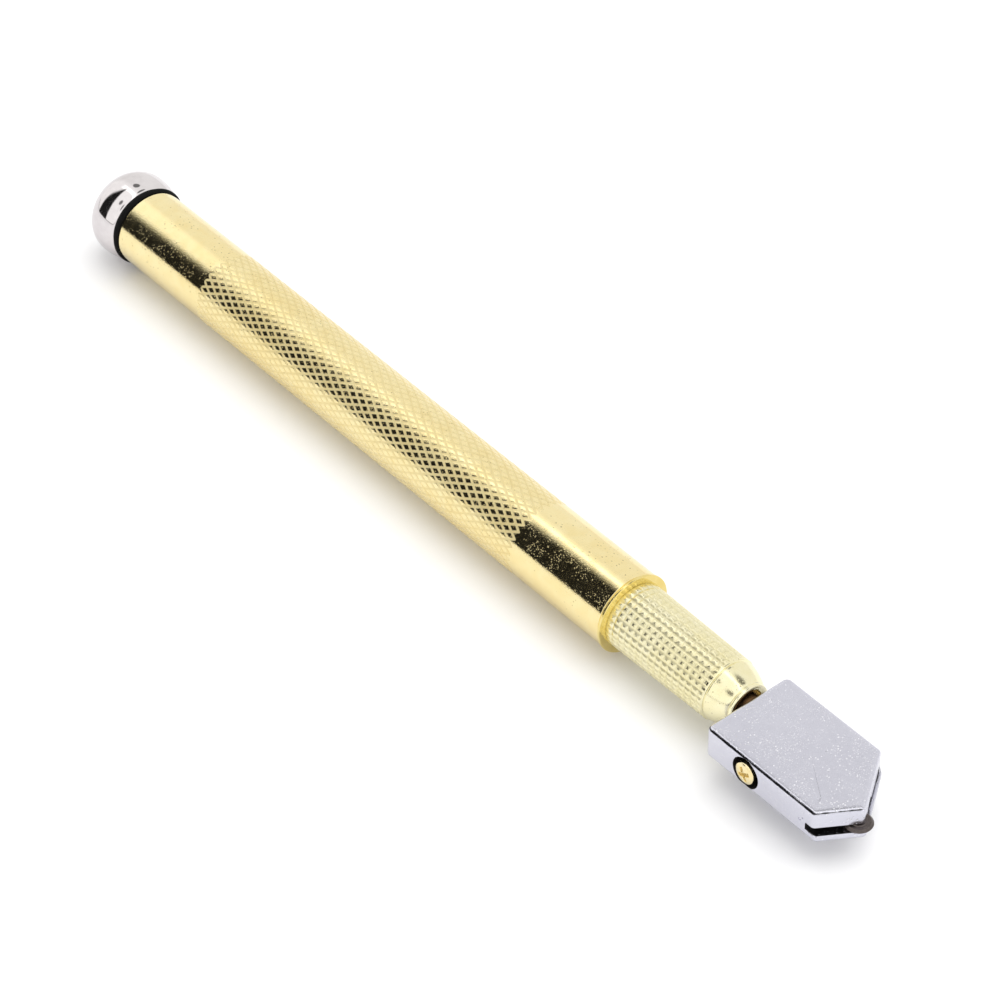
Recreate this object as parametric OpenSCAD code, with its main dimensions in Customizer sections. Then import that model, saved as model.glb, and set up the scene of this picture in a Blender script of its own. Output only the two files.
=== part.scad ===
// Oil-fed glass cutter with a round knurled handle and a wide, slotted cutting head.
// The tool lies along X with its cutting wheel towards +X and stands on Z = 0.
// Stations along the tool are measured from the handle tube's rear rim.

/* [Handle tube] */
// Length of the handle tube
tube_len = 116.4; // [100:0.1:125]
// Outer radius of the handle tube
tube_r = 6.35; // [6.3:0.01:6.4]
// Radius of the oil reservoir bored through the tube
bore_r = 5.3; // [5.3:0.01:5.35]
// Chamfer on the tube's rims
tube_chamfer = 0.3; // [0.1:0.05:0.4]

/* [End cap] */
// Largest radius of the tapping ball
ball_r = 7.26; // [7:0.01:7.4]
// Station of the ball's largest circle
ball_station = -4.6; // [-5:0.1:-4]
// Depth of the ball behind its largest circle
ball_depth = 5.1; // [4:0.1:6]
// Radius of the ball's flat face against the gasket
ball_face_r = 6.6; // [6.3:0.05:6.7]
// Length of the threaded stud inside the tube
stud_len = 6.5; // [6:0.1:8]
// Outer radius of the cap gasket
gasket_r = 6.74; // [6.5:0.01:6.8]
// Thickness of the cap gasket
gasket_t = 1.0; // [0.8:0.05:1.2]

/* [Front grip] */
// Thickness of the trim ring clamped against the tube
ring_t = 0.45; // [0.3:0.05:0.6]
// Outer radius of the trim ring
ring_r = 6.5; // [6.4:0.01:6.6]
// Radius of the grip next to the trim ring
grip_r = 5.38; // [5.3:0.01:5.5]
// Radius of the grip where its knurl ends
grip_front_r = 5.1; // [5:0.01:5.2]
// Length of the knurled part of the grip
grip_knurl_len = 20.0; // [19:0.1:21]
// Length of the smooth nose in front of the knurl
nose_len = 4.2; // [4:0.05:5]
// Outer radius of the nose at its mouth
nose_r = 3.4; // [3.3:0.01:3.6]
// Length of the threaded tail inside the tube
tail_len = 11.9; // [11.5:0.1:13]

/* [Cutting head] */
// Gap between the nose and the head when the valve is shut
head_gap = 0.8; // [0.8:0.05:1.2]
// Width of the head across its two guide edges
head_w = 15.4; // [15:0.1:16]
// Thickness of the head between its flat faces
head_t = 5.3; // [5.2:0.05:5.6]
// Distance of the head's centre line from the tool's axis
head_offset = -1.3; // [-1.5:0.05:-0.5]
// Length of the head along the edge with the screw
edge_len_screw = 21.4; // [21:0.1:22]
// Length of the head along the other edge
edge_len_plain = 18.6; // [18:0.1:19]
// Length of the head to the tip of its upper lip
head_len = 25.2; // [24.9:0.1:25.6]
// Distance of the tip from the tool's axis
tip_offset = -3.0; // [-3.3:0.05:-2.2]
// How far the lower lip reaches past the upper one
lip_step = 0.5; // [0.2:0.05:0.6]
// Width of the slot that holds the wheel
slot_w = 1.2; // [1.1:0.05:1.3]
// Height of the slot's middle above the head's middle plane
slot_level = -0.8; // [-1:0.05:-0.4]

/* [Cutting wheel] */
// Radius of the cutting wheel
wheel_r = 2.1; // [1.9:0.05:2.2]
// Thickness of the cutting wheel
wheel_t = 1.0; // [0.8:0.05:1.0]
// Distance of the wheel's axle behind the tip of the upper lip
axle_setback = 1.1; // [1.1:0.05:1.3]
// Radius of the wheel's axle
axle_r = 0.4; // [0.35:0.01:0.42]

/* [Feed stem] */
// Outer radius of the hollow stem that carries the head
stem_r = 2.0; // [1.9:0.01:2.0]
// Radius of the oil passage in the stem
passage_r = 0.9; // [0.85:0.01:0.95]
// Radius of the wick
wick_r = 0.75; // [0.7:0.01:0.78]
// Radius of the retaining screw's head
screw_head_r = 1.75; // [1.7:0.01:1.85]
// Radius of the retaining screw's shank
screw_r = 1.25; // [1.2:0.01:1.25]

/* [Hidden] */
fine = 96;                  // facets on large round surfaces
small = 48;                 // facets on small round surfaces
run_gap = 0.05;             // radial clearance of a part that turns or slides
snug = 0.02;                // clearance of a part that is pressed or screwed home
past = 1;                   // how far a cutter runs past the face it cuts

// stations of the handle's front end
ring_back = tube_len + snug;
grip_back = ring_back + ring_t;
knurl_end = grip_back + grip_knurl_len;
nose_end = knurl_end + nose_len;
tail_back = tube_len - tail_len;

// the whole tool's length, and the place of the tool's axis in the frame
head_back = nose_end + head_gap;
tip = head_back + head_len;
axle_station = tip - axle_setback;
tool_back = ball_station - ball_depth;
tool_front = axle_station + wheel_r;
middle = (tool_back + tool_front) / 2;
axis_z = ball_r;

// place of the tool's axis across the frame, so that the whole tool is centred on Y = 0
screw_proud = 0.5;
edge_y = head_offset - head_w / 2;
axis_y = (screw_proud - edge_y - ball_r) / 2;

// bores of the front grip, from its tail to its mouth
valve_bore_r = 3.6;
chamber_r = 3.1;
mouth_r = 2.66;
seat_step = tail_back + 17.1;
bush_step = tail_back + 26.5;

// outside of the grip's nose
knurl_run_out = 0.9;
neck_ridge_r = grip_front_r - 0.28;
nose_mid_r = grip_front_r - 0.75;
mouth_round = 0.35;

// seals
seal_r = 0.46;              // cord radius of the seal between grip and tube
groove_len = 1.4;
groove_front = tube_len - 0.8;
groove_r = bore_r - 2 * seal_r - 0.03;
stem_seal_r = 0.5;          // cord radius of the seal round the stem

// valve
bush_flange = 1;
bush_front = nose_end - 1.7;
seal_washer_t = 0.6;
seat_t = 1.95;
seat_hole_r = 2.4;
poppet_r = 3.15;
poppet_t = 3.1;
poppet_boss_r = 1.6;
poppet_boss = 2.6;
poppet_blind = 0.8;         // wall left behind the stem's spigot
spigot_r = 1.2;
neck_r = 1.6;
spring_coil_r = 2.45;
spring_wire_r = 0.3;
spring_turns = 6;
spring_steps = 16;          // rings of the spring per turn
spring_sides = 6;           // sides of the spring's wire
retainer_t = 3.1;
retainer_inset = 0.9;
retainer_hole_r = 1.5;
driver_slot = [0.9, 0.9];   // width and depth of the slot in the retainer
seat_back = seat_step - seat_t;
poppet_front = seat_back - run_gap;
poppet_back = poppet_front - poppet_t;
retainer_front = tail_back + retainer_inset + retainer_t;

// stem and wick
neck_front = seat_step + 1.2;
feed_hole_r = 0.6;
feed_hole = seat_step + 3.4;
passage_back = seat_step + 1.6;
stem_depth = 17.2;          // how far the stem reaches into the head
stem_front = head_back + stem_depth;
wick_front = stem_front + 3.0;

// retaining screw
screw_station = head_back + 8.1;
screw_head_t = 1.5;
screw_dome = 0.35;
screw_tip_y = -(passage_r + 0.1);
cross_slot = [0.45, 2.3, 0.75];
window_r = 2.45;            // opening in the head's edge round the screw's head
window_depth = 2.0;
shank_hole_r = 1.75;

// head outline: rear corners, shoulders and tip
corner_r = 0.9;
shoulder_r = 0.6;
tip_r = 0.5;
arc_steps = 6;
face_z = head_t / 2;
slot_floor_screw = edge_len_screw - 1.5;
slot_floor_plain = edge_len_plain + 0.4;
axle_top = slot_level + slot_w / 2 + 1.6;
axle_inset = 0.05;
wheel_land = 0.35;          // radial width of the wheel's ground edge
wheel_hub_r = 1.1;
wheel_relief = 0.12;

// ball of the end cap
ball_steps = 18;
ball_power = 2.1;           // power of the dome's superellipse; 2 is an ellipse
ball_waist_r = 0.25 * ball_face_r + 0.75 * ball_r;

// Carries children from a station along local Z onto the tool's axis.
module on_axis(station = 0)
    translate([station - middle, axis_y, axis_z]) rotate([0, 90, 0]) children();

// Solid of revolution about the tool's axis; points are [radius, station].
module turned(points, facets = fine)
    on_axis() rotate_extrude($fn = facets) polygon(points);

// Straight ring about the tool's axis.
module ring(inner, outer, back, front, facets = fine)
    turned([[inner, back], [outer, back], [outer, front], [inner, front]], facets);

// Round cutter along the tool's axis.
module bore(radius, back, front, facets = small)
    on_axis(back) cylinder(r = radius, h = front - back, $fn = facets);

// Rubber ring of round section about the tool's axis.
module o_ring(centre_r, cord_r, station)
    on_axis(station) rotate_extrude($fn = fine) translate([centre_r, 0])
        circle(r = cord_r, $fn = small);

// Places children in the head's plan: X along the tool from the head's rear face,
// Y across it and Z from its middle plane.
module in_head() translate([head_back - middle, axis_y, axis_z]) children();

// Points of an arc that rounds the corner at point b between points a and c.
function unit(v) = v / norm(v);
function corner(a, b, c, r) =
    let (
        u = unit(a - b), w = unit(c - b),
        half = acos(u * w) / 2,
        centre = b + unit(u + w) * r / sin(half),
        start = b + u * r / tan(half) - centre,
        finish = b + w * r / tan(half) - centre,
        a0 = atan2(start[1], start[0]),
        turn = atan2(start[0] * finish[1] - start[1] * finish[0], start * finish)
    )
    [for (i = [0:arc_steps]) centre + r * [cos(a0 + turn * i / arc_steps),
                                           sin(a0 + turn * i / arc_steps)]];

// Rounded outline of the head's plan; reach moves its front edges forward.
function head_plan(reach) =
    let (
        lo = edge_y,
        hi = edge_y + head_w,
        p = [[0, lo], [edge_len_screw + reach, lo], [head_len + reach, tip_offset],
             [edge_len_plain + reach, hi], [0, hi]],
        radii = [corner_r, shoulder_r, tip_r, shoulder_r, corner_r],
        n = len(p)
    )
    [for (i = [0:n - 1]) each corner(p[(i + n - 1) % n], p[i], p[(i + 1) % n], radii[i])];

// Half of the head, from the slot's middle to one flat face.
module head_half(reach, from, to)
    translate([0, 0, from]) linear_extrude(to - from) polygon(head_plan(reach));

// Slot across the front of the head.
module wheel_slot()
    translate([0, 0, slot_level - slot_w / 2]) linear_extrude(slot_w)
        polygon([[slot_floor_screw, edge_y - past], [head_len + lip_step + past, edge_y - past],
                 [head_len + lip_step + past, edge_y + head_w + past],
                 [slot_floor_plain, edge_y + head_w + past]]);

// Carries children onto the wheel's axle.
module on_axle(level = 0)
    in_head() translate([head_len - axle_setback, tip_offset, level]) children();

// Carries children onto the screw's axis, with local Z pointing out of the head's edge.
module on_screw(y)
    translate([screw_station - middle, axis_y + y, axis_z]) rotate([90, 0, 0]) children();

// Ring of one turn of the spring's wire at angle a.
function wire_ring(a, rise) =
    [for (k = [0:spring_sides - 1])
        let (r = spring_coil_r + spring_wire_r * cos(k * 360 / spring_sides))
        [r * cos(a), r * sin(a), rise + spring_wire_r * sin(k * 360 / spring_sides)]];

module handle_tube()
    color("#d9c97c") difference() {
        turned([
            [0, 0], [tube_r - tube_chamfer, 0], [tube_r, tube_chamfer],
            [tube_r, tube_len - tube_chamfer], [tube_r - tube_chamfer, tube_len],
            [0, tube_len]
        ]);
        bore(bore_r, -past, tube_len + past, fine);
    }

module end_cap()
    color("#c9c6c4") turned(concat(
        [[0, ball_station - ball_depth]],
        [for (i = [1:ball_steps])
            let (a = 90 * i / ball_steps)
            [ball_r * pow(sin(a), 2 / ball_power),
             ball_station - ball_depth * pow(cos(a), 2 / ball_power)]],
        [[ball_waist_r, (ball_station - gasket_t) / 2],
         [ball_face_r, -gasket_t - snug],
         [bore_r - run_gap, -gasket_t - snug],
         [bore_r - run_gap, stud_len - tube_chamfer],
         [bore_r - run_gap - tube_chamfer, stud_len],
         [0, stud_len]]
    ));

module cap_gasket()
    color("#1c1c1e") on_axis(-gasket_t / 2 - snug / 2) rotate_extrude($fn = fine) union() {
        half = (gasket_t - snug) / 2;
        translate([bore_r + run_gap, -half]) square([gasket_r - half - bore_r - run_gap, 2 * half]);
        translate([gasket_r - half, 0]) circle(r = half, $fn = small);
    }

module front_ring()
    color("#e0bd45") ring(bore_r - 0.25, ring_r, ring_back, grip_back - snug);

module front_grip()
    color("#d6cc94") difference() {
        turned([
            [0, tail_back],
            [bore_r - run_gap - tube_chamfer, tail_back],
            [bore_r - run_gap, tail_back + tube_chamfer],
            [bore_r - run_gap, groove_front - groove_len],
            [groove_r, groove_front - groove_len],
            [groove_r, groove_front],
            [bore_r - tube_chamfer, groove_front],
            [bore_r - tube_chamfer, grip_back],
            [grip_r, grip_back],
            [grip_front_r, knurl_end - knurl_run_out],
            [neck_ridge_r, knurl_end],
            [nose_mid_r, knurl_end + nose_len / 2],
            [nose_r + mouth_round, nose_end - 2 * mouth_round],
            [nose_r, nose_end - mouth_round / 2],
            [nose_r - mouth_round / 2, nose_end],
            [0, nose_end]
        ]);
        bore(valve_bore_r, tail_back - past, seat_step);
        bore(chamber_r, tail_back, bush_step);
        bore(mouth_r, tail_back, nose_end + past);
    }

module grip_seal()
    color("#222222")
        o_ring(groove_r + seal_r + 0.01, seal_r, groove_front - groove_len / 2);

module nose_bush()
    color("#b98f4a") turned([
        [stem_r + run_gap, bush_step - bush_flange],
        [chamber_r - snug, bush_step - bush_flange],
        [chamber_r - snug, bush_step],
        [mouth_r - snug, bush_step],
        [mouth_r - snug, bush_front],
        [stem_r + run_gap, bush_front]
    ], small);

module stem_seal()
    color("#222222") o_ring(
        stem_r + run_gap + stem_seal_r, stem_seal_r,
        bush_step - bush_flange - snug - stem_seal_r
    );

module seal_washer() {
    front = bush_step - bush_flange - 2 * snug - 2 * stem_seal_r;
    color("#c9a85c")
        ring(stem_r + 2 * run_gap, chamber_r - snug, front - seal_washer_t, front, small);
}

module valve_seat()
    color("#2a2a2a") ring(seat_hole_r, valve_bore_r - snug, seat_back, seat_step, small);

module valve_poppet()
    color("#b98f4a") difference() {
        turned([
            [0, poppet_back - poppet_boss], [poppet_boss_r, poppet_back - poppet_boss],
            [poppet_boss_r, poppet_back], [poppet_r, poppet_back],
            [poppet_r, poppet_front], [0, poppet_front]
        ], small);
        bore(spigot_r + snug, poppet_back - poppet_boss + poppet_blind, poppet_front + past);
    }

module valve_spring() {
    back = retainer_front + snug + spring_wire_r;
    rise = poppet_back - retainer_front - 2 * (snug + spring_wire_r);
    count = spring_turns * spring_steps;
    points = [for (i = [0:count]) each wire_ring(i * 360 / spring_steps, back + rise * i / count)];
    first = [for (k = [0:spring_sides - 1]) k];
    last = [for (k = [spring_sides - 1:-1:0]) count * spring_sides + k];
    walls = [for (i = [0:count - 1], k = [0:spring_sides - 1])
        let (n = (k + 1) % spring_sides, a = i * spring_sides, b = a + spring_sides)
        [a + k, b + k, b + n, a + n]];
    color("#9a9a9a") on_axis() polyhedron(points, concat([first, last], walls));
}

module spring_retainer() {
    back = retainer_front - retainer_t;
    color("#c9a85c") difference() {
        ring(retainer_hole_r, valve_bore_r - snug, back, retainer_front, small);
        on_axis(back) cube([driver_slot[0], 3 * valve_bore_r, 2 * driver_slot[1]], center = true);
    }
}

module feed_stem()
    color("#8a6a4a") difference() {
        turned([
            [0, poppet_back - poppet_boss + poppet_blind + snug],
            [spigot_r, poppet_back - poppet_boss + poppet_blind + snug],
            [spigot_r, poppet_front], [neck_r, poppet_front],
            [neck_r, neck_front], [stem_r, neck_front + stem_r - neck_r],
            [stem_r, stem_front], [0, stem_front]
        ], small);
        bore(passage_r, passage_back, stem_front + past);
        translate([feed_hole - middle, axis_y, axis_z])
            cylinder(r = feed_hole_r, h = 3 * stem_r, center = true, $fn = small);
        on_screw(0) cylinder(r = screw_r + snug, h = stem_r + past, $fn = small);
    }

module feed_wick()
    color("#e8e0cc") bore(wick_r, passage_back + snug, wick_front);

module retaining_screw()
    color("#d8b660") difference() {
        on_screw(0) rotate_extrude($fn = small) polygon([
            [0, -screw_tip_y], [screw_r, -screw_tip_y],
            [screw_r, screw_proud - edge_y - screw_head_t],
            [screw_head_r, screw_proud - edge_y - screw_head_t],
            [screw_head_r, screw_proud - edge_y - screw_dome],
            [screw_head_r - screw_dome, screw_proud - edge_y],
            [0, screw_proud - edge_y]
        ]);
        for (turn = [0, 90])
            on_screw(edge_y - screw_proud) rotate([0, 0, turn])
                cube([cross_slot[0], cross_slot[1], 2 * cross_slot[2]], center = true);
    }

module cutter_head()
    color("#c4c4cc") difference() {
        in_head() {
            head_half(0, slot_level, face_z);
            head_half(lip_step, -face_z, slot_level);
        }
        in_head() wheel_slot();
        bore(stem_r + run_gap, head_back - past, stem_front + snug);
        bore(passage_r, head_back, tip);
        on_screw(edge_y + window_depth) cylinder(r = window_r, h = window_depth + past, $fn = small);
        on_screw(0) cylinder(r = shank_hole_r, h = -edge_y, $fn = small);
        on_axle(-face_z - past)
            cylinder(r = axle_r + snug / 2, h = face_z + past + axle_top + snug, $fn = small);
    }

module wheel_axle()
    color("#8c8c90") on_axle(axle_inset - face_z)
        cylinder(r = axle_r, h = axle_top + face_z - axle_inset, $fn = small);

module cutting_wheel()
    color("#57504c") on_axle(slot_level) rotate_extrude($fn = fine) polygon([
        [axle_r + run_gap, -wheel_t / 2], [wheel_hub_r, -wheel_t / 2],
        [wheel_hub_r + wheel_relief, wheel_relief - wheel_t / 2],
        [wheel_r - wheel_land, wheel_relief - wheel_t / 2], [wheel_r, 0],
        [wheel_r - wheel_land, wheel_t / 2 - wheel_relief],
        [wheel_hub_r + wheel_relief, wheel_t / 2 - wheel_relief],
        [wheel_hub_r, wheel_t / 2], [axle_r + run_gap, wheel_t / 2]
    ]);

handle_tube();
end_cap();
cap_gasket();
front_ring();
front_grip();
grip_seal();
nose_bush();
stem_seal();
seal_washer();
valve_seat();
valve_spring();
spring_retainer();
valve_poppet();
feed_stem();
feed_wick();
retaining_screw();
cutter_head();
wheel_axle();
cutting_wheel();
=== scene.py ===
"""Oil-fed glass cutter: knurled brass handle, chromed tapping ball and slotted cutting head.

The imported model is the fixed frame: metres, +X towards the cutting wheel, Z up, and the tool
stands on Z = 0. Each sub-assembly below is a class that works its surfaces out as whole numpy
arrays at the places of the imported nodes, and dresses them in its own finish.
"""
from __future__ import annotations

import logging
import math
from dataclasses import dataclass, field
from enum import Enum
from typing import Any, Iterable, Mapping, Protocol, Sequence

import bmesh
import bpy
import numpy as np
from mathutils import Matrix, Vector


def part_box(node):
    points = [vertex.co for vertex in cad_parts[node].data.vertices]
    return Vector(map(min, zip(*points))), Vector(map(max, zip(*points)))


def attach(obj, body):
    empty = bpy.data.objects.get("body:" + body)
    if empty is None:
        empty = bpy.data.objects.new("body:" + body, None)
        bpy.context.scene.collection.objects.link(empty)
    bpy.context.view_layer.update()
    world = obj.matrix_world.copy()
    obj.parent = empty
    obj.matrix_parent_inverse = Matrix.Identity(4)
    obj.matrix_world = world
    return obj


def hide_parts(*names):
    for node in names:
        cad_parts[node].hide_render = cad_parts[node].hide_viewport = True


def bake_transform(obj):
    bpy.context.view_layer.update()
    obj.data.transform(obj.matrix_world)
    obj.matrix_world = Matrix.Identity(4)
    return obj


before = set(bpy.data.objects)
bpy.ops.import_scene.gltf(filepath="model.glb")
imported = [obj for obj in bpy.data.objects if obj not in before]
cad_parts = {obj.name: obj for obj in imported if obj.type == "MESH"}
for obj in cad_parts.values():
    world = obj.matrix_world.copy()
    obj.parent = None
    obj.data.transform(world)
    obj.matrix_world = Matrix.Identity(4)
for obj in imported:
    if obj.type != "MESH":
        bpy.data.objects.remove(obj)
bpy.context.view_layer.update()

LOG = logging.getLogger("glass_cutter")
MM = 0.001
SNUG = 0.02 * MM
ROWS_PER_TURN = 8
Colour = tuple[float, float, float]
Source = Any


class Body(Enum):
    """Moving bodies of the tool."""

    HANDLE = "handle"
    GASKET = "gasket"
    CAP = "cap"
    STEM = "stem"
    HEAD = "head"
    WHEEL = "wheel"


class Slot(Enum):
    """Material slots of the part's record."""

    HANDLE_BRASS = "handle_brass"
    GRIP_BRASS = "grip_brass"
    RING_BRASS = "ring_brass"
    BUSH_BRASS = "bush_brass"
    STEM_BRASS = "stem_brass"
    SCREW_BRASS = "screw_brass"
    CAP_CHROME = "cap_chrome"
    HEAD_CHROME = "head_chrome"
    SEAL_RUBBER = "seal_rubber"
    SPRING_STEEL = "spring_steel"
    AXLE_STEEL = "axle_steel"
    WHEEL_CARBIDE = "wheel_carbide"
    WICK_COTTON = "wick_cotton"


# ---------------------------------------------------------------- surfaces


def off_line(phase: np.ndarray) -> np.ndarray:
    """Distance from a phase to its nearest whole number, 0 to 0.5."""
    return np.abs(phase - np.round(phase))


def cut_corners(points: Sequence[tuple[float, float]], rounds: int) -> np.ndarray:
    """Rounds an open profile: each corner is cut at a quarter of its two edges, again and again.

    Args:
        points: Profile corners, one (place, radius) pair each.
        rounds: How many times the corners are cut.

    Returns:
        The finer profile, which keeps both end points.
    """
    line = np.asarray(points, float)
    for _ in range(rounds):
        a, b = line[:-1], line[1:]
        cut = np.stack([0.75 * a + 0.25 * b, 0.25 * a + 0.75 * b], 1).reshape(-1, 2)
        line = np.concatenate([line[:1], cut[1:-1], line[-1:]])
    return line


def between(points: Sequence[tuple[float, float]], step: float) -> np.ndarray:
    """Splits a profile's edges so that none is longer than step.

    Args:
        points: Profile corners.
        step: Longest edge allowed, in metres.

    Returns:
        The profile with points added along its edges.
    """
    line = np.asarray(points, float)
    runs = []
    for a, b in zip(line[:-1], line[1:]):
        count = max(1, math.ceil(float(np.linalg.norm(b - a)) / step))
        runs.append(a + (b - a) * np.arange(count)[:, None] / count)
    return np.concatenate(runs + [line[-1:]])


@dataclass(frozen=True)
class Lathe:
    """An axis that profiles are turned about.

    Attributes:
        origin: A point on the axis, in metres.
        along: Unit vector of the axis.
        across: Unit vector square to the axis, where the turn starts.
    """

    origin: tuple[float, float, float]
    along: tuple[float, float, float] = (1.0, 0.0, 0.0)
    across: tuple[float, float, float] = (0.0, 1.0, 0.0)

    def rows(self, place: np.ndarray, radius: np.ndarray, count: int) -> np.ndarray:
        """Turns a profile into rows of points.

        P(i, j) = origin + place_i along + radius_ij (cos a_j across + sin a_j third),
        with a_j = 2 pi j / count and third square to the other two.

        Args:
            place: Distance along the axis of each row.
            radius: Radius of each row, or of each point of each row.
            count: Points round each row.

        Returns:
            Array of rows by count by 3.
        """
        along, across = np.array(self.along), np.array(self.across)
        third = np.cross(along, across)
        angle = 2.0 * np.pi * np.arange(count) / count
        radius = np.asarray(radius, float)
        radius = radius[:, None] if radius.ndim == 1 else radius
        spoke = np.cos(angle)[:, None] * across + np.sin(angle)[:, None] * third
        core = np.array(self.origin) + np.asarray(place, float)[:, None] * along
        return core[:, None, :] + (radius * np.ones(count))[:, :, None] * spoke[None]


def make_mesh(
    name: str,
    points: np.ndarray,
    faces: Iterable[np.ndarray],
    sharp: float = 30.0,
    layers: Mapping[str, np.ndarray] | None = None,
) -> bpy.types.Object:
    """Puts a closed surface into a new object at the origin, with its faces turned outwards.

    The faces are turned round when the sum of p0 . (p1 x p2) over the triangles, which is six
    times the volume, comes out negative.

    Args:
        name: Name of the piece.
        points: Every point of the surface.
        faces: Arrays of point numbers, one array for each number of sides.
        sharp: Edges that turn by more than this many degrees stay crisp.
        layers: Values kept at the points, by name, for the finishes to read.

    Returns:
        The new object, linked into the scene.
    """
    points = points.reshape(-1, 3)
    faces = [np.asarray(f) for f in faces if len(f)]
    volume = 0.0
    for block in faces:
        for k in range(1, block.shape[1] - 1):
            p0, p1, p2 = points[block[:, 0]], points[block[:, k]], points[block[:, k + 1]]
            volume += float(np.einsum("ij,ij->i", p0, np.cross(p1, p2)).sum())
    if volume < 0:
        faces = [block[:, ::-1] for block in faces]
    mesh = bpy.data.meshes.new(name)
    mesh.from_pydata(points.tolist(), [], [face for block in faces for face in block.tolist()])
    for label, values in (layers or {}).items():
        layer = mesh.attributes.new(label, "FLOAT", "POINT")
        layer.data.foreach_set("value", np.asarray(values, np.float32).ravel())
    mesh.update()
    crisp(mesh, sharp)
    piece = bpy.data.objects.new(name, mesh)
    bpy.context.scene.collection.objects.link(piece)
    return piece


def crisp(mesh: bpy.types.Mesh, sharp: float) -> None:
    """Shades a mesh smooth, apart from edges that turn by more than sharp degrees."""
    mesh.polygons.foreach_set("use_smooth", np.ones(len(mesh.polygons), bool))
    mesh.set_sharp_from_angle(angle=math.radians(sharp))


def shell(
    name: str,
    rows: np.ndarray,
    loop: bool = False,
    split: np.ndarray | None = None,
    sharp: float = 30.0,
    layers: Mapping[str, np.ndarray] | None = None,
) -> bpy.types.Object:
    """Skins rows of points, each row a closed ring.

    Cell (i, j) joins points (i, j), (i, j+1), (i+1, j+1) and (i+1, j). An open shell is closed
    by a fan from each end row to that row's mean point.

    Args:
        name: Name of the piece.
        rows: Array of rows by points by 3.
        loop: Whether the last row joins the first, as on a ring.
        split: True where a cell is cut from its first corner, False where it is cut across,
            one value per cell; None leaves whole four-sided cells.
        sharp: Edges that turn by more than this many degrees stay crisp.
        layers: Values kept at the points, by name, rows by points each.

    Returns:
        The new piece.
    """
    m, n = rows.shape[:2]
    i = np.arange(m if loop else m - 1)[:, None]
    j = np.arange(n)[None, :]
    a, b = i * n + j, i * n + (j + 1) % n
    c, d = (i + 1) % m * n + (j + 1) % n, (i + 1) % m * n + j
    points = rows.reshape(-1, 3)
    if split is None:
        faces = [np.stack([a, b, c, d], -1).reshape(-1, 4)]
    else:
        one = np.where(split[..., None], np.stack([a, b, c], -1), np.stack([a, b, d], -1))
        two = np.where(split[..., None], np.stack([a, c, d], -1), np.stack([b, c, d], -1))
        faces = [np.concatenate([one.reshape(-1, 3), two.reshape(-1, 3)])]
    layers = {k: np.asarray(v, float).reshape(-1) for k, v in (layers or {}).items()}
    if not loop:
        first, last = np.arange(n), (m - 1) * n + np.arange(n)
        ends = np.stack([rows[0].mean(0), rows[-1].mean(0)])
        points = np.concatenate([points, ends])
        faces.append(np.stack([np.roll(first, -1), first, np.full(n, m * n)], 1))
        faces.append(np.stack([last, np.roll(last, -1), np.full(n, m * n + 1)], 1))
        layers = {
            k: np.concatenate([v, [v[:n].mean(), v[-n:].mean()]]) for k, v in layers.items()
        }
    return make_mesh(name, points, faces, sharp, layers)


# ---------------------------------------------------------------- shader groups


class Wiring:
    """Makes and joins the nodes of one node tree."""

    def __init__(self, tree: bpy.types.NodeTree) -> None:
        """Keeps the tree that the nodes go into."""
        self.tree = tree

    def add(self, kind: str, feeds: Mapping[Any, Source] | None = None, **settings: Any) -> Any:
        """Adds a node.

        Args:
            kind: Node type without its "ShaderNode" beginning, or in full for group nodes.
            feeds: What goes into each input, a constant or another node's output.
            **settings: Properties of the node.

        Returns:
            The new node.
        """
        full = kind if kind.startswith("Node") else "ShaderNode" + kind
        node = self.tree.nodes.new(full)
        for key, value in settings.items():
            setattr(node, key, value)
        for key, value in (feeds or {}).items():
            self.feed(node.inputs[key], value)
        return node

    def feed(self, socket: Any, value: Source) -> None:
        """Sets a socket to a constant, or joins another node's output to it.

        Args:
            socket: The input to feed.
            value: A constant or an output; three numbers for a colour are made opaque.
        """
        if isinstance(value, bpy.types.NodeSocket):
            self.tree.links.new(value, socket)
        elif isinstance(value, tuple) and len(value) == 3 and socket.type == "RGBA":
            socket.default_value = (*value, 1.0)
        else:
            socket.default_value = value

    def maths(self, operation: str, *values: Source, clamp: bool = False) -> Any:
        """Output of a Math node with the given operation and inputs."""
        feeds = dict(enumerate(values))
        return self.add("Math", feeds, operation=operation, use_clamp=clamp).outputs[0]

    def span(self, value: Source, low: float, high: float, to: tuple[float, float]) -> Any:
        """Output of a smooth Map Range from low..high to the two values of to."""
        feeds = {"Value": value, "From Min": low, "From Max": high, "To Min": to[0], "To Max": to[1]}
        return self.add("MapRange", feeds, interpolation_type="SMOOTHSTEP").outputs[0]

    def window(self, value: Source, rise: tuple[float, float], fall: tuple[float, float]) -> Any:
        """Product of a smooth rise from 0 to 1 and a smooth fall from 1 to 0 of a value.

        Args:
            value: What rises and falls.
            rise: Where the rise starts and ends.
            fall: Where the fall starts and ends.

        Returns:
            The product's socket.
        """
        return self.maths("MULTIPLY", self.span(value, *rise, (0.0, 1.0)),
                          self.span(value, *fall, (1.0, 0.0)))

    def lean(self, factor: Source, first: Source, second: Source) -> Any:
        """Value between two values; factor is the share of the second."""
        return self.add("Mix", {0: factor, 2: first, 3: second}).outputs[0]

    def blend(self, factor: Source, first: Source, second: Source) -> Any:
        """Colour between two colours; factor is the share of the second."""
        return self.add("Mix", {0: factor, 6: first, 7: second}, data_type="RGBA").outputs[2]


class Effect(Enum):
    """Surface effects that several finishes share."""

    PITS = "casting and plating pits"
    MOTTLE = "uneven plating"
    LINES = "turning lines"
    # Dark line painted along rims as reflection and shade.
    WORN_RIM = "broken rim line"


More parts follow.
